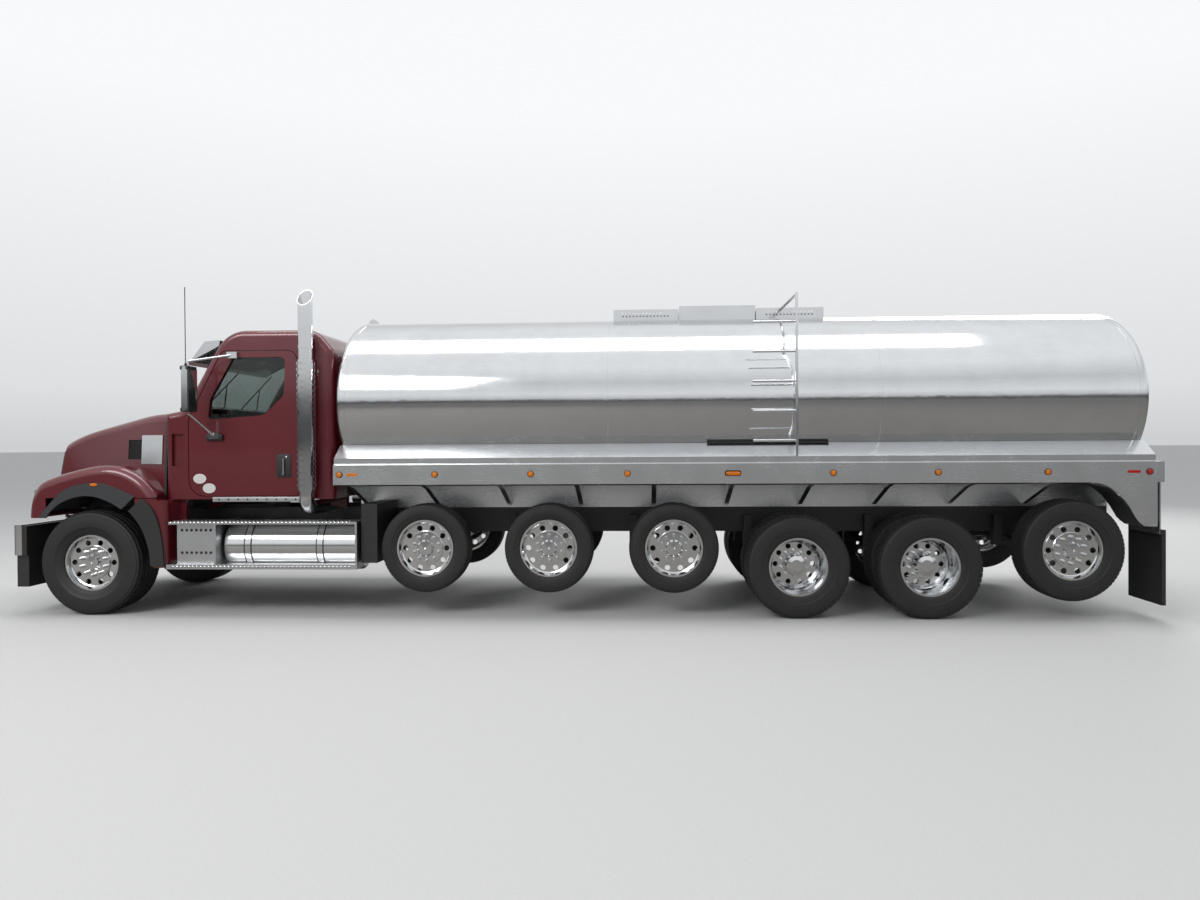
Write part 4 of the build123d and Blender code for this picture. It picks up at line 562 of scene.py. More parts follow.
    @staticmethod
    def bar(name: str, start: Point, end: Point, radius: float, vertices: int = 12) -> bpy.types.Object:
        """Models a round bar with softened ends.

        Args:
            name: Name of the piece.
            start: Centre of one end.
            end: Centre of the other end.
            radius: Radius of the bar.
            vertices: Corners of its section.

        Returns:
            The bar.
        """
        Bench.clear()
        run = Vector(end) - Vector(start)
        turn = run.to_track_quat("Z", "Y").to_euler()
        middle = (Vector(start) + Vector(end)) / 2
        bpy.ops.mesh.primitive_cylinder_add(
            vertices=vertices, radius=radius, depth=run.length, location=middle, rotation=turn
        )
        piece = Bench.named(name)
        Bench.settle(piece)
        Bench.edit(piece)
        Bench.pick_faces(piece, lambda face: len(face.verts) > 4)
        bpy.ops.mesh.inset(thickness=radius * 0.3)
        Bench.raise_faces(radius * 0.2)
        Bench.close()
        return piece

    @staticmethod
    def ribbon(name: str, path: Sequence[Point], width: Point, thickness: float) -> bpy.types.Object:
        """Models a bent strip, from a chain of edges that is extruded sideways.

        Args:
            name: Name of the piece.
            path: Corners of the strip's edge.
            width: How far and where the edge is carried.
            thickness: Thickness of the strip.

        Returns:
            The strip.
        """
        piece = Bench.traced(name, [Vector(corner) for corner in path])
        bpy.ops.mesh.extrude_edges_move(TRANSFORM_OT_translate={"value": width})
        bpy.ops.mesh.select_all(action="SELECT")
        bpy.ops.mesh.normals_make_consistent(inside=False)
        bpy.ops.mesh.solidify(thickness=thickness)
        Bench.close()
        return piece

    @staticmethod
    def row(piece: bpy.types.Object, count: int, step: Point) -> bpy.types.Object:
        """Repeats a piece in a straight row.

        Args:
            piece: Piece to repeat.
            count: Number of pieces in the row.
            step: From one piece to the next.

        Returns:
            The same object, with the whole row in its mesh.
        """
        Bench.settle(piece)
        array = piece.modifiers.new("row", "ARRAY")
        array.count = count
        array.use_relative_offset = False
        array.use_constant_offset = True
        array.constant_offset_displace = step
        bpy.ops.object.modifier_apply(modifier=array.name)
        return piece

    @staticmethod
    def both_sides(piece: bpy.types.Object) -> bpy.types.Object:
        """Mirrors a settled piece across the truck's centre plane."""
        Bench.settle(piece)
        mirror = piece.modifiers.new("sides", "MIRROR")
        mirror.use_axis = (False, True, False)
        mirror.use_mirror_merge = False
        bpy.ops.object.modifier_apply(modifier=mirror.name)
        return piece

    @staticmethod
    def disc(
        name: str, centre: Point, axis: Point, radius: float, height: float, steps: int = 16
    ) -> bpy.types.Object:
        """Models a low dome on a round foot.

        Args:
            name: Name of the piece.
            centre: Centre of its foot.
            axis: Unit direction in which it stands out.
            radius: Radius of the foot.
            height: How far it stands out.
            steps: Steps round it.

        Returns:
            The dome.
        """
        outward = (0, 0, 1) if abs(axis[2]) < 0.5 else (1, 0, 0)
        profile = [(0.0, 0.0), (0.0, radius), (height * 0.55, radius * 0.97)]
        profile += [(height * 0.9, radius * 0.7), (height, 0.0)]
        return Bench.turned(name, centre, axis, outward, profile, steps)

    @staticmethod
    def join(pieces: Sequence[bpy.types.Object], name: str) -> bpy.types.Object:
        """Joins several meshes into one piece.

        Args:
            pieces: Meshes to join; the first one keeps its settings.
            name: Name of the result.

        Returns:
            The joined piece.
        """
        Bench.take(pieces[0])
        for piece in pieces:
            piece.select_set(True)
        if len(pieces) > 1:
            bpy.ops.object.join()
        made = Bench.named(name)
        return made


class Palette:
    """Builds each finish once and puts it on the carried over nodes."""

    def __init__(self) -> None:
        """Starts with no material made."""
        self.made: dict[str, bpy.types.Material] = {}

    def get(self, look: str) -> bpy.types.Material:
        """Gives the material of a finish, made at its first use."""
        if look not in self.made:
            self.made[look] = FINISHES[look].build()
        return self.made[look]

    def dress(
        self, piece: bpy.types.Object, look: str, body: str = "chassis", nodes: Sequence[str] = ()
    ) -> None:
        """Gives a piece its finish and the body that carries it.

        Args:
            piece: Finished mesh.
            look: Name of its finish.
            body: Body that it rides on.
            nodes: Nodes that it stands for.
        """
        Bench.settle(piece)
        piece.data.materials.clear()
        piece.data.materials.append(self.get(look))
        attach(piece, body)
        if nodes:
            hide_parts(*nodes)
        LOG.info("%s rides on %s", piece.name, body)

    def dress_nodes(self) -> None:
        """Puts each node's finish into its material slots."""
        for entry in frame["record"]["subparts"]:
            piece = frame["nodes"][entry["node"]]
            for held in piece.material_slots:
                held.material = self.get(entry["material_slot"])


@dataclass
class TyreSet:
    """Tyres of one size, modelled once and copied to each wheel."""

    nodes: dict[str, str]
    tread: Tread
    tread_depth: float = 0.011
    groove: float = 0.011
    twin_spacing: float = 0.0

    def profile(self, half_width: float, radius: float, bead: float) -> list[Pair]:
        """Half of the tyre's section, from the middle of the tread to the bead.

        Args:
            half_width: Half of the tyre's width.
            radius: Outer radius of the tread.
            bead: Half of the rim's width.

        Returns:
            Distance from the middle plane and radius of each corner.
        """
        wall = radius - RIM_FLANGE
        tread = half_width * 0.80
        base = radius - self.tread_depth
        belly = RIM_FLANGE + 0.48 * wall
        points = [(0.0, base)]
        points += [(tread * 0.20, base), (tread * 0.20 + self.groove, base)]
        points += [(tread * 0.58, base), (tread * 0.58 + self.groove, base)]
        points += [(tread, base - 0.003)]
        points += [(half_width * 0.905, radius - 0.10 * wall), (half_width * 0.925, radius - 0.17 * wall)]
        points += [(half_width * 0.955, radius - 0.19 * wall), (half_width * 0.985, belly + 0.16 * wall)]
        points += [(half_width - 0.0005, belly + 0.02 * wall), (half_width - 0.002, belly - 0.14 * wall)]
        bulge = half_width - bead
        points += [(half_width - 0.006, belly - 0.16 * wall), (bead + 0.55 * bulge, belly - 0.30 * wall)]
        points += [(bead + 0.3 * bulge, RIM_FLANGE + 0.075 * wall)]
        points += [(bead + 0.002, RIM_FLANGE + 0.035 * wall), (bead - 0.002, RIM_FLANGE + 0.0006)]
        return points

    def model(self, name: str, box: tuple[Vector, Vector]) -> bpy.types.Object:
        """Models one tyre, or a pair of twins, in the space of its node.

        Args:
            name: Name of the piece.
            box: Lowest and highest corner of the node.

        Returns:
            The tyre.
        """
        low, high = box
        centre = (low + high) / 2
        radius = (high.z - low.z) / 2
        half_width = (high.y - low.y - self.twin_spacing) / 2
        bead = half_width - 0.034 if half_width > 0.2 else half_width - 0.018
        half = self.profile(half_width, radius, bead)
        section = [(-length, height) for length, height in half[:0:-1]] + half
        hub = (centre.x, centre.y - self.twin_spacing / 2, centre.z)
        piece = Bench.turned(name, hub, (0, 1, 0), (0, 0, 1), section, self.tread.value)
        self.cut_tread(piece, Vector(hub), half_width, radius)
        if self.twin_spacing > 0:
            twin = Bench.copy(piece, name + "_twin", (0, self.twin_spacing, 0))
            piece = Bench.join([piece, twin], name)
        return piece

    def cut_tread(self, piece: bpy.types.Object, hub: Vector, half_width: float, radius: float) -> None:
        """Raises the ribs and shoulder blocks of the tread.

        Args:
            piece: The turned tyre.
            hub: Centre of the tyre.
            half_width: Half of the tyre's width.
            radius: Outer radius of the tread.
        """
        tread = half_width * 0.80
        inner = tread * 0.58 + self.groove

        def band(face: bmesh.types.BMFace) -> float:
            """Distance of a tread face from the middle plane, or a large number elsewhere."""
            middle = face.calc_center_median()
            height = math.hypot(middle.x - hub.x, middle.z - hub.z)
            return abs(middle.y - hub.y) if height > radius - self.tread_depth - 0.008 else 9.0

        def shoulder(face: bmesh.types.BMFace) -> bool:
            """Whether a face lies on the shoulder rib."""
            return inner < band(face) < tread

        def rib(face: bmesh.types.BMFace) -> bool:
            """Whether a face lies on one of the inner ribs."""
            place = band(face)
            return place < tread * 0.20 or tread * 0.20 + self.groove < place < tread * 0.58

        Bench.edit(piece)
        Bench.pick_faces(piece, shoulder)
        bpy.ops.mesh.inset(thickness=0.0035, use_individual=True)
        Bench.raise_faces(self.tread_depth - 0.001)
        Bench.pick_faces(piece, rib)
        blocks = self.tread is Tread.BLOCKS
        bpy.ops.mesh.inset(thickness=0.003, use_individual=blocks)
        Bench.raise_faces(self.tread_depth - 0.0008)
        Bench.close()

    def build(self, palette: Palette) -> None:
        """Models the first tyre and copies it to the other wheels.

        Args:
            palette: Materials.
        """
        model: bpy.types.Object | None = None
        origin = Vector((0, 0, 0))
        for node, body in self.nodes.items():
            low, high = (Vector(corner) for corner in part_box(node))
            centre = (low + high) / 2
            name = node + "_rubber"
            if model is None:
                model = self.model(name, (low, high))
                origin = centre
                piece = model
            else:
                piece = Bench.copy(model, name, tuple(centre - origin))
                # The copy loses the first tyre's links to its node and body.
                for key in list(piece.keys()):
                    del piece[key]
            palette.dress(piece, "tyre_rubber", body, [node])


@dataclass
class WheelNuts:
    """Bright nut covers round each hub."""

    bolt_circle: float = 0.135
    count: int = 10
    radius: float = 0.019
    length: float = 0.05

    def build(self, palette: Palette, body: str, hub: Vector, side: float) -> None:
        """Models the nuts of one wheel.

        Args:
            palette: Materials.
            body: Body of the wheel.
            hub: Point on the axle at the foot of the nuts.
            side: Outboard direction on Y, -1 or 1.
        """
        Bench.clear()
        place = hub + Vector((0, side * self.length / 2, self.bolt_circle))
        bpy.ops.mesh.primitive_cylinder_add(
            vertices=12, radius=self.radius, depth=self.length, location=place, rotation=(math.pi / 2, 0, 0)
        )
        piece = Bench.named(body + "_nuts")
        Bench.settle(piece)
        Bench.edit(piece)
        Bench.pick_faces(piece, lambda face: face.normal.y * side > 0.9)
        bpy.ops.mesh.inset(thickness=0.005)
        bpy.ops.mesh.extrude_region_move(TRANSFORM_OT_translate={"value": (0, side * 0.007, 0)})
        bpy.ops.mesh.inset(thickness=0.004)
        bpy.ops.mesh.select_all(action="SELECT")
        bpy.ops.mesh.spin(steps=self.count, angle=math.tau, center=hub, axis=(0, 1, 0), dupli=True)
        Bench.close()
        palette.dress(piece, "bright_chrome", body)


@dataclass
class SideLamps:
    """Round amber and red markers along both body rails, with rubber rings."""

    radius: float = 0.034
    face_y: float = 1.2923
    height: float = 1.492
    amber: Sequence[float] = (2.7363, 3.7386, 4.7327, 5.7268, 7.7978, 8.8333, 9.9019)
    red: Sequence[float] = (10.8794,)
    turn: Pair = (6.7154, 6.8754)

    def lamp(self, name: str, place: Vector, side: float) -> bpy.types.Object:
        """Models one domed lens.

        Args:
            name: Name of the piece.
            place: Centre of its back.
            side: Outboard direction on Y.

        Returns:
            The lens.
        """
        radius = self.radius - 0.006
        profile = [(0.0, 0.0), (0.0, radius), (0.008, radius)]
        profile += [(0.013, radius * 0.8), (0.0155, radius * 0.45), (0.016, 0.0)]
        return Bench.turned(name, tuple(place), (0, side, 0), (0, 0, 1), profile, 20)

    def ring(self, name: str, place: Vector, side: float) -> bpy.types.Object:
        """Models one rubber ring round a lens."""
        outer = self.radius
        inner = self.radius - 0.0065
        profile = [(0.0003, inner), (0.0003, outer), (0.006, outer)]
        profile += [(0.009, outer - 0.003), (0.009, inner), (0.0003, inner)]
        return Bench.turned(name, tuple(place), (0, side, 0), (0, 0, 1), profile, 20)

    def long_lens(self, name: str, side: float, margin: float, depth: float) -> bpy.types.Object:
        """Models the long turn lamp or its rubber frame."""
        Bench.clear()
        middle = sum(self.turn) / 2
        place = (along(middle), side * (self.face_y + depth / 2), self.height)
        bpy.ops.mesh.primitive_cube_add(size=1, location=place)
        piece = Bench.named(name)
        piece.scale = (self.turn[1] - self.turn[0] - 2 * margin, depth, 0.056 - 2 * margin)
        Bench.settle(piece)
        Bench.edit(piece)
        bpy.ops.mesh.bevel(offset=min(0.02, 0.024 - margin), segments=4, affect="EDGES")
        Bench.close()
        return piece

    def build(self, palette: Palette) -> None:
        """Models all markers of both sides."""
        amber, red, rings = [], [], []
        for side in (-1.0, 1.0):
            for number, station in enumerate((*self.amber, *self.red)):
                place = Vector((along(station), side * self.face_y, self.height))
                lens = self.lamp(f"lens_{number}", place, side)
                (red if station in self.red else amber).append(lens)
                rings.append(self.ring(f"ring_{number}", place, side))
            amber.append(self.long_lens("turn_lens", side, 0.007, 0.0155))
            rings.append(self.long_lens("turn_frame", side, 0.0, 0.009))
        lenses = Bench.join(amber, "amber_markers")
        palette.dress(lenses, "lamp_lens", "chassis", ["side_lamps"])
        palette.dress(Bench.join(red, "red_markers"), "red_lens")
        palette.dress(Bench.join(rings, "marker_rings"), "lamp_rubber")


@dataclass
class StackGuard:
    """Punched heat shields round both exhaust stacks."""

    station: float = 2.333
    lateral: float = 1.150
    radius: float = 0.0895
    low: float = 1.33
    high: float = 2.68
    columns: int = 30
    rows: int = 42

    def build(self, palette: Palette) -> None:
        """Models one shield, punches it and mirrors it."""
        Bench.clear()
        centre = Vector((along(self.station), -self.lateral, (self.low + self.high) / 2))
        bpy.ops.mesh.primitive_cylinder_add(
            vertices=self.columns, radius=self.radius, depth=self.high - self.low, end_fill_type="NOTHING",
            location=centre,
        )
        piece = Bench.named("stack_shields")
        Bench.settle(piece)
        shape = Bench.edit(piece)
        bpy.ops.mesh.select_mode(type="EDGE")
        bpy.ops.mesh.select_all(action="DESELECT")
        for edge in shape.edges:
            edge.select_set(abs(edge.verts[0].co.z - edge.verts[1].co.z) > 0.1)
        bmesh.update_edit_mesh(piece.data)
        bpy.ops.mesh.subdivide(number_cuts=self.rows - 1)

        def punched(face: bmesh.types.BMFace) -> bool:
            """Whether a face is one of the punched scallops."""
            middle = face.calc_center_median()
            turn = math.atan2(middle.y - centre.y, middle.x - centre.x) / math.tau
            column = round(turn * self.columns - 0.5)
            row = int((middle.z - self.low) / (self.high - self.low) * self.rows)
            return (column + row) % 2 == 0

        Bench.pick_faces(piece, punched)
        bpy.ops.mesh.inset(thickness=0.0025, use_individual=True)
        Bench.raise_faces(0.0045)
        Bench.close()
        palette.dress(Bench.both_sides(piece), "bright_chrome")


@dataclass
class HoodTrim:
    """Seal, vent meshes, flare markers and lamp bowls of the hood."""

    seal: Pair = (0.706, 0.730)
    seal_edge: Sequence[Pair] = (
        (1.0245, 1.262), (1.004, 1.60), (0.969, 2.06), (0.961, 2.096), (0.941, 2.127), (0.911, 2.147),
        (0.8735, 2.1545),
    )
    vent_low: Point = (0.139, -0.757, 1.655)
    vent_run: Point = (0.206, -0.0803, 0.0)
    vent_rise: Point = (0.0, 0.0173, 0.215)

    def build(self, palette: Palette) -> None:
        """Models all trim of the hood."""
        edge = [(along(self.seal[0]), -half, height) for half, height in self.seal_edge]
        path = edge + [(x, -y, z) for x, y, z in edge[::-1]]
        seal = Bench.ribbon("hood_seal", path, (self.seal[1] - self.seal[0], 0, 0), 0.005)
        palette.dress(seal, "lamp_rubber", "hood")
        palette.dress(self.vent_mesh(), "black_plastic", "hood")
        marker = Bench.disc("flare_markers", (0, 0, 0), (0, -1, 0), 0.022, 0.014)
        marker.scale = (1.9, 1.0, 0.75)
        marker.location = (along(0.07), -1.2473, 1.395)
        palette.dress(Bench.both_sides(marker), "lamp_lens", "hood")
        profile = [(0.0, 0.086), (0.0, 0.080), (0.016, 0.068), (0.028, 0.045)]
        profile += [(0.033, 0.018), (0.020, 0.012), (0.020, 0.0)]
        places = [(along(-0.636), -y, 1.23) for y in (0.70, 0.95)]
        bowls = [Bench.turned("bowl", place, (1, 0, 0), (0, 0, 1), profile, 28) for place in places]
        palette.dress(Bench.both_sides(Bench.join(bowls, "lamp_bowls")), "bright_chrome", "hood")
        back = Bench.box("lamp_backs", (-0.600, -0.590), (-1.108, -0.562), (1.132, 1.328))
        palette.dress(Bench.both_sides(back), "black_plastic", "hood")

    def vent_mesh(self) -> bpy.types.Object:
        """Models the mesh in the vents, with a dark panel behind it as painted shade of the vent's inside.

        Returns:
            Both meshes and panels as one piece.
        """
        Bench.clear()
        run, rise = Vector(self.vent_run), Vector(self.vent_rise)
        start = Vector((along(self.vent_low[0]), self.vent_low[1], self.vent_low[2]))
        middle = start + (run + rise) / 2
        across = run.normalized()
        upright = (rise - across * rise.dot(across)).normalized()
        facing = across.cross(upright)
        bpy.ops.mesh.primitive_grid_add(x_subdivisions=13, y_subdivisions=11, size=1)
        mesh = bpy.context.object
        turn = Matrix((across, upright, facing)).transposed()
        mesh.rotation_euler = turn.to_euler()
        mesh.scale = (run.length * 1.03, rise.length * 1.03, 1)
        mesh.location = middle
        Bench.settle(mesh)
        Bench.edit(mesh)
        bpy.ops.mesh.select_all(action="SELECT")
        bpy.ops.mesh.inset(thickness=0.0022, use_individual=True)
        bpy.ops.mesh.delete(type="FACE")
        bpy.ops.mesh.select_all(action="SELECT")
        bpy.ops.mesh.solidify(thickness=0.004)
        Bench.close()
        # The black panel behind the mesh is painted shade: it stands for the dark inside of the open vent.
        bpy.ops.mesh.primitive_cube_add(size=1, location=middle - facing * 0.03, rotation=turn.to_euler())
        panel = bpy.context.object
        panel.scale = (run.length * 1.06, rise.length * 1.06, 0.004)
        Bench.settle(panel)
        Bench.edit(panel)
        bpy.ops.mesh.bevel(offset=0.0015, segments=1, affect="EDGES")
        Bench.close()
        return Bench.both_sides(Bench.join([mesh, panel], "vent_meshes"))


@dataclass
class CabTrim:
    """Door handles, blank ovals, mirror frames, mast, wipers and the strip under the doors."""

    handle: Pair = (2.045, 1.580)
    ovals: Sequence[Pair] = ((1.118, 1.446), (1.221, 1.343))
    sides: Sequence[tuple[str, float]] = (("left", -1.0), ("right", 1.0))

    def build(self, palette: Palette) -> None:
        """Models the trim of both doors and of the cab."""
        for name, side in self.sides:
            self.door(palette, name, side)
        mast = Bench.bar("mast", (along(1.14), -1.345, 2.63), (along(1.14), -1.345, 3.45), 0.0045, 8)
        foot = Bench.bar("mast_foot", (along(1.14), -1.345, 2.60), (along(1.14), -1.345, 2.66), 0.011)
        palette.dress(Bench.join([mast, foot], "mast"), "lamp_rubber", "door_left")
        arms = []
        for y in (-0.40, 0.42):
            foot, head = (along(0.925), y + 0.26, 2.215), (along(1.085), y + 0.02, 2.50)
            low, high = (along(0.935), y - 0.18, 2.235), (along(1.185), y + 0.14, 2.67)
            arms.append(Bench.bar("arm", foot, head, 0.007, 8))
            arms.append(Bench.bar("blade", low, high, 0.008, 8))
        palette.dress(Bench.join(arms, "wipers"), "lamp_rubber")
        strip = Bench.box("sill_strips", (1.259, 2.242), (-1.0535, -1.0503), (1.198, 1.248), 0.001)
        palette.dress(Bench.both_sides(strip), "step_aluminium")
        # The holes are not cut: each is a dark disc on the strip, whose black is painted shade of the hole's
        # inside.
        hole = Bench.disc("strip_holes", (along(1.33), -1.0535, 1.223), (0, -1, 0), 0.010, 0.0006, 14)
        palette.dress(Bench.both_sides(Bench.row(hole, 9, (0.105, 0, 0))), "lamp_rubber")

    def door(self, palette: Palette, name: str, side: float) -> None:
        """Models the trim of one door.

        Args:
            palette: Materials.
            name: Side of the vehicle.
            side: Outboard direction on Y.
        """
        body = f"door_{name}"
        station, height = self.handle

        def fitting(
            title: str, stations: Pair, outboard: Pair, heights: Pair, bevel: float
        ) -> bpy.types.Object:
            """Models a bevelled box on this side of the truck."""
            low, high = sorted(side * place for place in outboard)
            return Bench.box(title, stations, (low, high), heights, bevel)

        dish = ((station - 0.078, station + 0.078), (1.0503, 1.0560), (height - 0.125, height + 0.125))
        dark = [
            fitting("handle_dish", *dish, 0.0028),
            fitting("mirror_pad", (1.205, 1.385), (1.0503, 1.0850), (1.855, 1.925), 0.012),
            fitting("mirror_top", (1.122, 1.214), (1.256, 1.4318), (2.585, 2.630), 0.012),
            fitting("mirror_foot", (1.122, 1.214), (1.256, 1.4318), (2.155, 2.200), 0.012),
            fitting("mirror_frame", (1.2083, 1.2163), (1.258, 1.4316), (2.19, 2.60), 0.003),
        ]
        palette.dress(Bench.join(dark, f"door_fittings_{name}"), "black_plastic", body)
        low, high = ((along(station), side * 1.064, height + shift) for shift in (-0.095, 0.08))
        lever = Bench.bar("lever", low, high, 0.013)
        place = (along(station + 0.03), side * 1.0602, height + 0.092)
        hub = Bench.disc("lever_hub", place, (0, side, 0), 0.012, 0.003)
        palette.dress(Bench.join([lever, hub], f"door_lever_{name}"), "bright_chrome", body)
        glass = fitting("mirror_glass", (1.2166, 1.2176), (1.270, 1.424), (2.205, 2.585), 0.0003)
        palette.dress(glass, "bright_chrome", body)
        ovals = []
        for place, level in self.ovals:
            oval = Bench.disc("oval", (0, 0, 0), (0, side, 0), 0.053, 0.0008, 28)
            oval.scale = (1.35, 1.0, 1.0)
            oval.location = (along(place), side * 1.0503, level)
            Bench.settle(oval)
            ovals.append(oval)
        palette.dress(Bench.join(ovals, f"door_ovals_{name}"), "pale_film", body)


@dataclass
class SideGear:
    """Studs of the steps, holes of the step box and rubbers of the tank straps."""

    step_run: Pair = (0.905, 2.84)
    pitch: float = 0.043
    strap_edges: Sequence[float] = (1.640, 1.712, 2.420, 2.492)

    def build(self, palette: Palette) -> None:
        """Models the gear of both sides."""
        count = int((self.step_run[1] - self.step_run[0]) / self.pitch)
        rows = (
            (-1.2503, 0.986, (0, -1, 0)),
            (-1.222, 1.0003, (0, 0, 1)),
            (-1.165, 1.0003, (0, 0, 1)),
            (-1.2503, 0.524, (0, -1, 0)),
            (-1.222, 0.5483, (0, 0, 1)),
        )
        studs = []
        for number, (y, z, axis) in enumerate(rows):
            shift = self.pitch / 2 * (number % 2)
            stud = Bench.disc("stud", (along(self.step_run[0] + shift), y, z), axis, 0.0115, 0.005, 9)
            studs.append(Bench.row(stud, count, (self.pitch, 0, 0)))
        palette.dress(Bench.both_sides(Bench.join(studs, "step_studs")), "bright_chrome")
        # The holes are not cut: each is a dark disc on the box face, whose black is painted shade of the
        # hole's inside.
        holes = []
        for height in (0.905, 0.665):
            hole = Bench.disc("hole", (along(0.985), -1.1723, height), (0, -1, 0), 0.016, 0.0015, 14)
            holes.append(Bench.row(hole, 7, (0.052, 0, 0)))
        palette.dress(Bench.both_sides(Bench.join(holes, "box_holes")), "lamp_rubber")
        profile = [(0.0, 0.2683), (0.0, 0.2745), (0.008, 0.2745), (0.008, 0.2683), (0.0, 0.2683)]
        rings = [
            Bench.turned("strap_rubber", (along(station), -0.868, 0.722), (1, 0, 0), (0, 0, 1), profile, 56)
            for station in self.strap_edges
        ]
        palette.dress(Bench.both_sides(Bench.join(rings, "strap_rubbers")), "lamp_rubber")


@dataclass
class TankTrim:
    """Sheet seams of the tank's jacket, its anti-slip strip and the pattern of the top boxes."""

    half_width: float = 1.200
    half_height: float = 0.968
    axis_height: float = 2.252
    seams: Sequence[float] = (2.735, 5.52, 8.31, 10.845)

    def build(self, palette: Palette) -> None:
        """Models the trim of the tank."""
        bands = []
        for number, station in enumerate(self.seams):
            wide = number in (0, len(self.seams) - 1)
            width = 0.030 if wide else 0.007
            rise = 1.0026 if wide else 1.0012
            profile = [(0.0, 1.0002), (0.001, rise), (width - 0.001, rise), (width, 1.0002), (0.0, 1.0002)]
            band = Bench.turned("seam", (0, 0, 0), (1, 0, 0), (0, 0, 1), profile, 128)
            band.scale = (1, self.half_width, self.half_height)
            band.location = (along(station), 0, self.axis_height)
            Bench.settle(band)
            bands.append(band)
        palette.dress(Bench.join(bands, "jacket_seams"), "polished_jacket")
        strip = Bench.box("anti_slip", (6.55, 7.80), (-1.098, -1.070), (1.8005, 1.811))
        palette.dress(strip, "lamp_rubber")
        ribs = []
        for start, count in ((5.66, 14), (7.27, 14)):
            rib = Bench.box("rib", (start, start + 0.016), (-0.3335, -0.3303), (3.225, 3.272), 0.001)
            ribs.append(Bench.row(rib, count, (0.039, 0, 0)))
        palette.dress(Bench.both_sides(Bench.join(ribs, "box_tread")), "polished_aluminium")


@dataclass
class RearTrim:
    """Tail lamps, reflectors, work lamps and the liner of the rear arches."""

    arch: Sequence[Pair] = (
        (10.315, 1.372), (10.50, 1.331), (10.611, 1.236), (10.69, 1.131), (10.757, 1.013), (10.835, 0.946),
    )
    bar_face: float = 11.0405
    reflector: tuple[Pair, Pair] = ((-1.2955, -1.2923), (1.478, 1.506))

    def build(self, palette: Palette) -> None:
        """Models the trim of the tail."""
        path = [(along(station) - 0.004, -1.284, height) for station, height in self.arch]
        liner = Bench.ribbon("arch_liners", path, (0, 0.34, 0), 0.004)
        palette.dress(Bench.both_sides(liner), "black_plastic")
        lenses, rings = [], []
        for y in (1.16, 1.03, 0.90):
            place = (along(self.bar_face), -y, 1.492)
            lenses.append(Bench.disc("tail_lens", place, (1, 0, 0), 0.046, 0.012, 24))
            profile = [(0.0, 0.047), (0.0, 0.056), (0.006, 0.056), (0.008, 0.047), (0.0, 0.047)]
            rings.append(Bench.turned("tail_ring", place, (1, 0, 0), (0, 0, 1), profile, 24))
        # The side reflectors take the red lens material, so they glow; as they are no lamps, this glow is
        # painted light.
        lenses.append(Bench.box("side_reflector", (10.669, 10.791), *self.reflector, 0.0015))
        palette.dress(Bench.both_sides(Bench.join(lenses, "red_lenses")), "red_lens")
        # The front reflectors glow through the amber lens material; as they are no lamps, this glow is
        # painted light.
        amber = Bench.box("front_reflectors", (2.815, 2.925), *self.reflector, 0.0015)
        palette.dress(Bench.both_sides(amber), "lamp_lens")
        rings.append(Bench.box("work_lamp", (10.865, 10.925), (-1.235, -1.165), (1.625, 1.675), 0.008))
        rings.append(Bench.box("work_lamp_foot", (10.888, 10.902), (-1.21, -1.19), (1.591, 1.627), 0.002))
        palette.dress(Bench.both_sides(Bench.join(rings, "lamp_bodies")), "lamp_rubber")


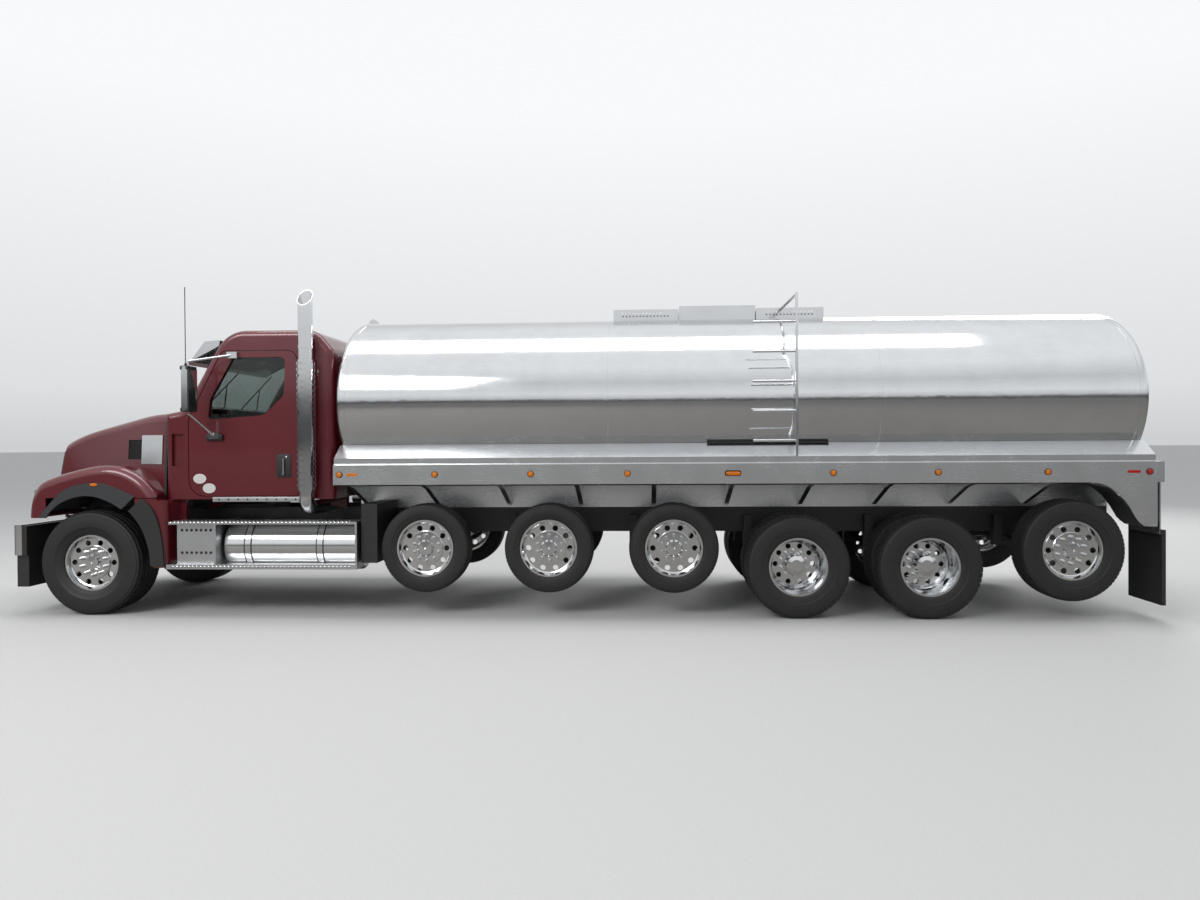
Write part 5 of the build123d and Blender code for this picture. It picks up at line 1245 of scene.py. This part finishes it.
@dataclass
class Studio:
    """Floor, soft light, pale background and the camera."""

    camera_place: Point = (0.7827, -9.7798, 1.8157)
    yaw: float = math.radians(-2.983)
    pitch: float = math.radians(-0.554)
    roll: float = math.radians(-0.355)
    focal_px: float = 833.0
    image_px: float = 1200.0
    sensor: float = 36.0
    backdrop: Sequence[Pair] = ((0.0, 0.62), (0.06, 0.74), (0.36, 0.95))
    mirrored_sky: Sequence[Pair] = (
        (0.0, 0.07), (0.045, 0.11), (0.075, 0.62), (0.20, 0.90), (0.5, 0.70), (0.8, 0.98),
    )
    floor_color: Color = (0.56, 0.555, 0.545)
    mirrored_floor: Color = (0.20, 0.19, 0.175)

    def build(self) -> None:
        """Makes the whole studio."""
        self.floor()
        self.world()
        self.lights()
        self.camera()

    def floor(self) -> None:
        """Lays a wide pale floor that fades into the background far away."""
        Bench.clear()
        bpy.ops.mesh.primitive_circle_add(vertices=96, radius=260, fill_type="NGON", location=(0, 0, 0))
        floor = bpy.context.object
        floor.name = "floor"
        material, desk, shader = new_material("floor")
        shader.inputs["Roughness"].default_value = 0.75
        speckle = desk.noise(desk.node("ShaderNodeTexCoord").outputs["Object"], 55.0, 5.0, 0.7)
        dark, pale = ((*[value * share for value in self.floor_color], 1.0) for share in (0.93, 1.07))
        glossy = desk.node("ShaderNodeLightPath").outputs["Is Glossy Ray"]
        shown = desk.mix(glossy, desk.mix(speckle, dark, pale), (*self.mirrored_floor, 1.0))
        desk.feed(shader.inputs["Base Color"], shown)
        floor.data.materials.append(material)

    def world(self) -> None:
        """Sets a soft sky: pale for the camera and the gloss, even for the light."""
        world = bpy.data.worlds.new("studio")
        world.use_nodes = True
        bpy.context.scene.world = world
        desk = Desk(world.node_tree)
        nodes = world.node_tree.nodes
        lit = nodes["Background"]
        lit.inputs["Color"].default_value = (0.93, 0.96, 1.0, 1.0)
        lit.inputs["Strength"].default_value = 0.62
        height = desk.node("ShaderNodeSeparateXYZ")
        desk.feed(height.inputs[0], desk.node("ShaderNodeTexCoord").outputs["Generated"])
        path = desk.node("ShaderNodeLightPath").outputs
        shown = desk.math("MAXIMUM", path["Is Camera Ray"], path["Is Transmission Ray"])
        light = lit.outputs[0]
        for share, stops in ((path["Is Glossy Ray"], self.mirrored_sky), (shown, self.backdrop)):
            mixed = desk.node("ShaderNodeMixShader")
            backdrop = self.sky(desk, height.outputs["Z"], stops)
            for socket, value in zip(mixed.inputs, (share, light, backdrop)):
                desk.feed(socket, value)
            light = mixed.outputs[0]
        desk.feed(nodes["World Output"].inputs["Surface"], light)

    @staticmethod
    def sky(desk: Desk, height: bpy.types.NodeSocket, stops: Sequence[Pair]) -> bpy.types.NodeSocket:
        """Makes a backdrop that changes with the height of the view.

        Args:
            desk: The world's nodes.
            height: Upward part of the direction.
            stops: Height and brightness of each stop.

        Returns:
            The backdrop's shader socket.
        """
        ramp = desk.node("ShaderNodeValToRGB")
        while len(ramp.color_ramp.elements) < len(stops):
            ramp.color_ramp.elements.new(0.5)
        for element, (place, value) in zip(ramp.color_ramp.elements, stops):
            element.position = place
            element.color = (value * 0.985, value, value * 1.015, 1.0)
        desk.feed(ramp.inputs["Fac"], height)
        return desk.node("ShaderNodeBackground", Strength=1.0, Color=ramp.outputs["Color"]).outputs[0]

    def lights(self) -> None:
        """Hangs three wide soft lamps round the truck."""
        for name, place, target, size, power in (
            ("key", (-9.0, -13.0, 11.0), (-1.0, 0.0, 1.5), (10.0, 5.0), 1300.0),
            ("top", (0.0, 0.0, 13.0), (0.0, 0.0, 0.0), (16.0, 4.0), 900.0),
            ("back", (9.0, 13.0, 9.0), (0.0, 0.0, 1.5), (10.0, 5.0), 900.0),
        ):
            lamp = bpy.data.lights.new(name, "AREA")
            lamp.shape = "RECTANGLE"
            lamp.size, lamp.size_y = size
            lamp.energy = power
            holder = bpy.data.objects.new(name, lamp)
            bpy.context.collection.objects.link(holder)
            holder.location = place
            holder.rotation_euler = (Vector(target) - Vector(place)).to_track_quat("-Z", "Y").to_euler()

    def camera(self) -> None:
        """Places the camera at the photograph's viewpoint."""
        lens = bpy.data.cameras.new("camera")
        lens.sensor_width = self.sensor
        lens.lens = self.focal_px / self.image_px * self.sensor
        lens.clip_end = 600
        holder = bpy.data.objects.new("camera", lens)
        bpy.context.collection.objects.link(holder)
        forward = Vector((
            math.sin(self.yaw) * math.cos(self.pitch),
            math.cos(self.yaw) * math.cos(self.pitch),
            math.sin(self.pitch),
        ))
        level = Vector((math.cos(self.yaw), -math.sin(self.yaw), 0.0))
        upward = level.cross(forward)
        right = level * math.cos(self.roll) + upward * math.sin(self.roll)
        top = upward * math.cos(self.roll) - level * math.sin(self.roll)
        turn = Matrix((right, top, -forward)).transposed()
        holder.rotation_euler = turn.to_euler()
        holder.location = self.camera_place
        bpy.context.scene.camera = holder


@dataclass
class Truck:
    """All dressed sub-assemblies of the truck."""

    palette: Palette = field(default_factory=Palette)
    singles: Sequence[str] = ("steer", "lift1", "lift2", "lift3", "tag")
    twins: Sequence[str] = ("drive1", "drive2")
    nut_depth: float = 0.045
    twin_disc: float = 0.024

    @staticmethod
    def pairs(axles: Sequence[str], node: str, body: str) -> dict[str, str]:
        """Gives the body of each wheel node of some axles.

        Args:
            axles: Names of the axles.
            node: What the nodes are called on these axles.
            body: What the bodies are called on these axles.

        Returns:
            Name of the body for each node, the left side first.
        """
        sides = ("left", "right")
        return {f"{axle}_{node}_{side}": f"{axle}_{body}_{side}" for axle in axles for side in sides}

    def wheels(self) -> None:
        """Dresses every wheel with its tyre and nuts."""
        for axles in (("steer",), ("lift1", "lift2", "lift3"), ("tag",)):
            TyreSet(self.pairs(axles, "tyre", "wheel"), Tread.RIBS).build(self.palette)
        nodes = self.pairs(self.twins, "tyres", "wheels")
        TyreSet(nodes, Tread.BLOCKS, tread_depth=0.014, twin_spacing=0.343).build(self.palette)
        singles = self.pairs(self.singles, "rim", "wheel")
        twins = self.pairs(self.twins, "rims", "wheels")
        for rim, body in {**singles, **twins}.items():
            outward = -1.0 if rim.endswith("left") else 1.0
            low, high = (Vector(corner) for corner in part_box(rim))
            hub = (low + high) / 2
            if rim in twins:
                hub.y += outward * self.twin_disc
            else:
                hub.y = (low.y if outward < 0 else high.y) - outward * self.nut_depth
            WheelNuts().build(self.palette, body, hub, outward)

    def build(self) -> None:
        """Dresses the nodes and adds the modelled pieces."""
        self.palette.dress_nodes()
        self.wheels()
        for group in (SideLamps(), StackGuard(), HoodTrim(), CabTrim(), SideGear(), TankTrim(), RearTrim()):
            group.build(self.palette)


def main() -> None:
    """Builds the truck's looks and its studio."""
    logging.basicConfig(level=logging.INFO, format="%(message)s")
    bpy.context.scene.view_settings.view_transform = "Standard"
    Truck().build()
    Studio().build()


if __name__ == "__main__":
    main()
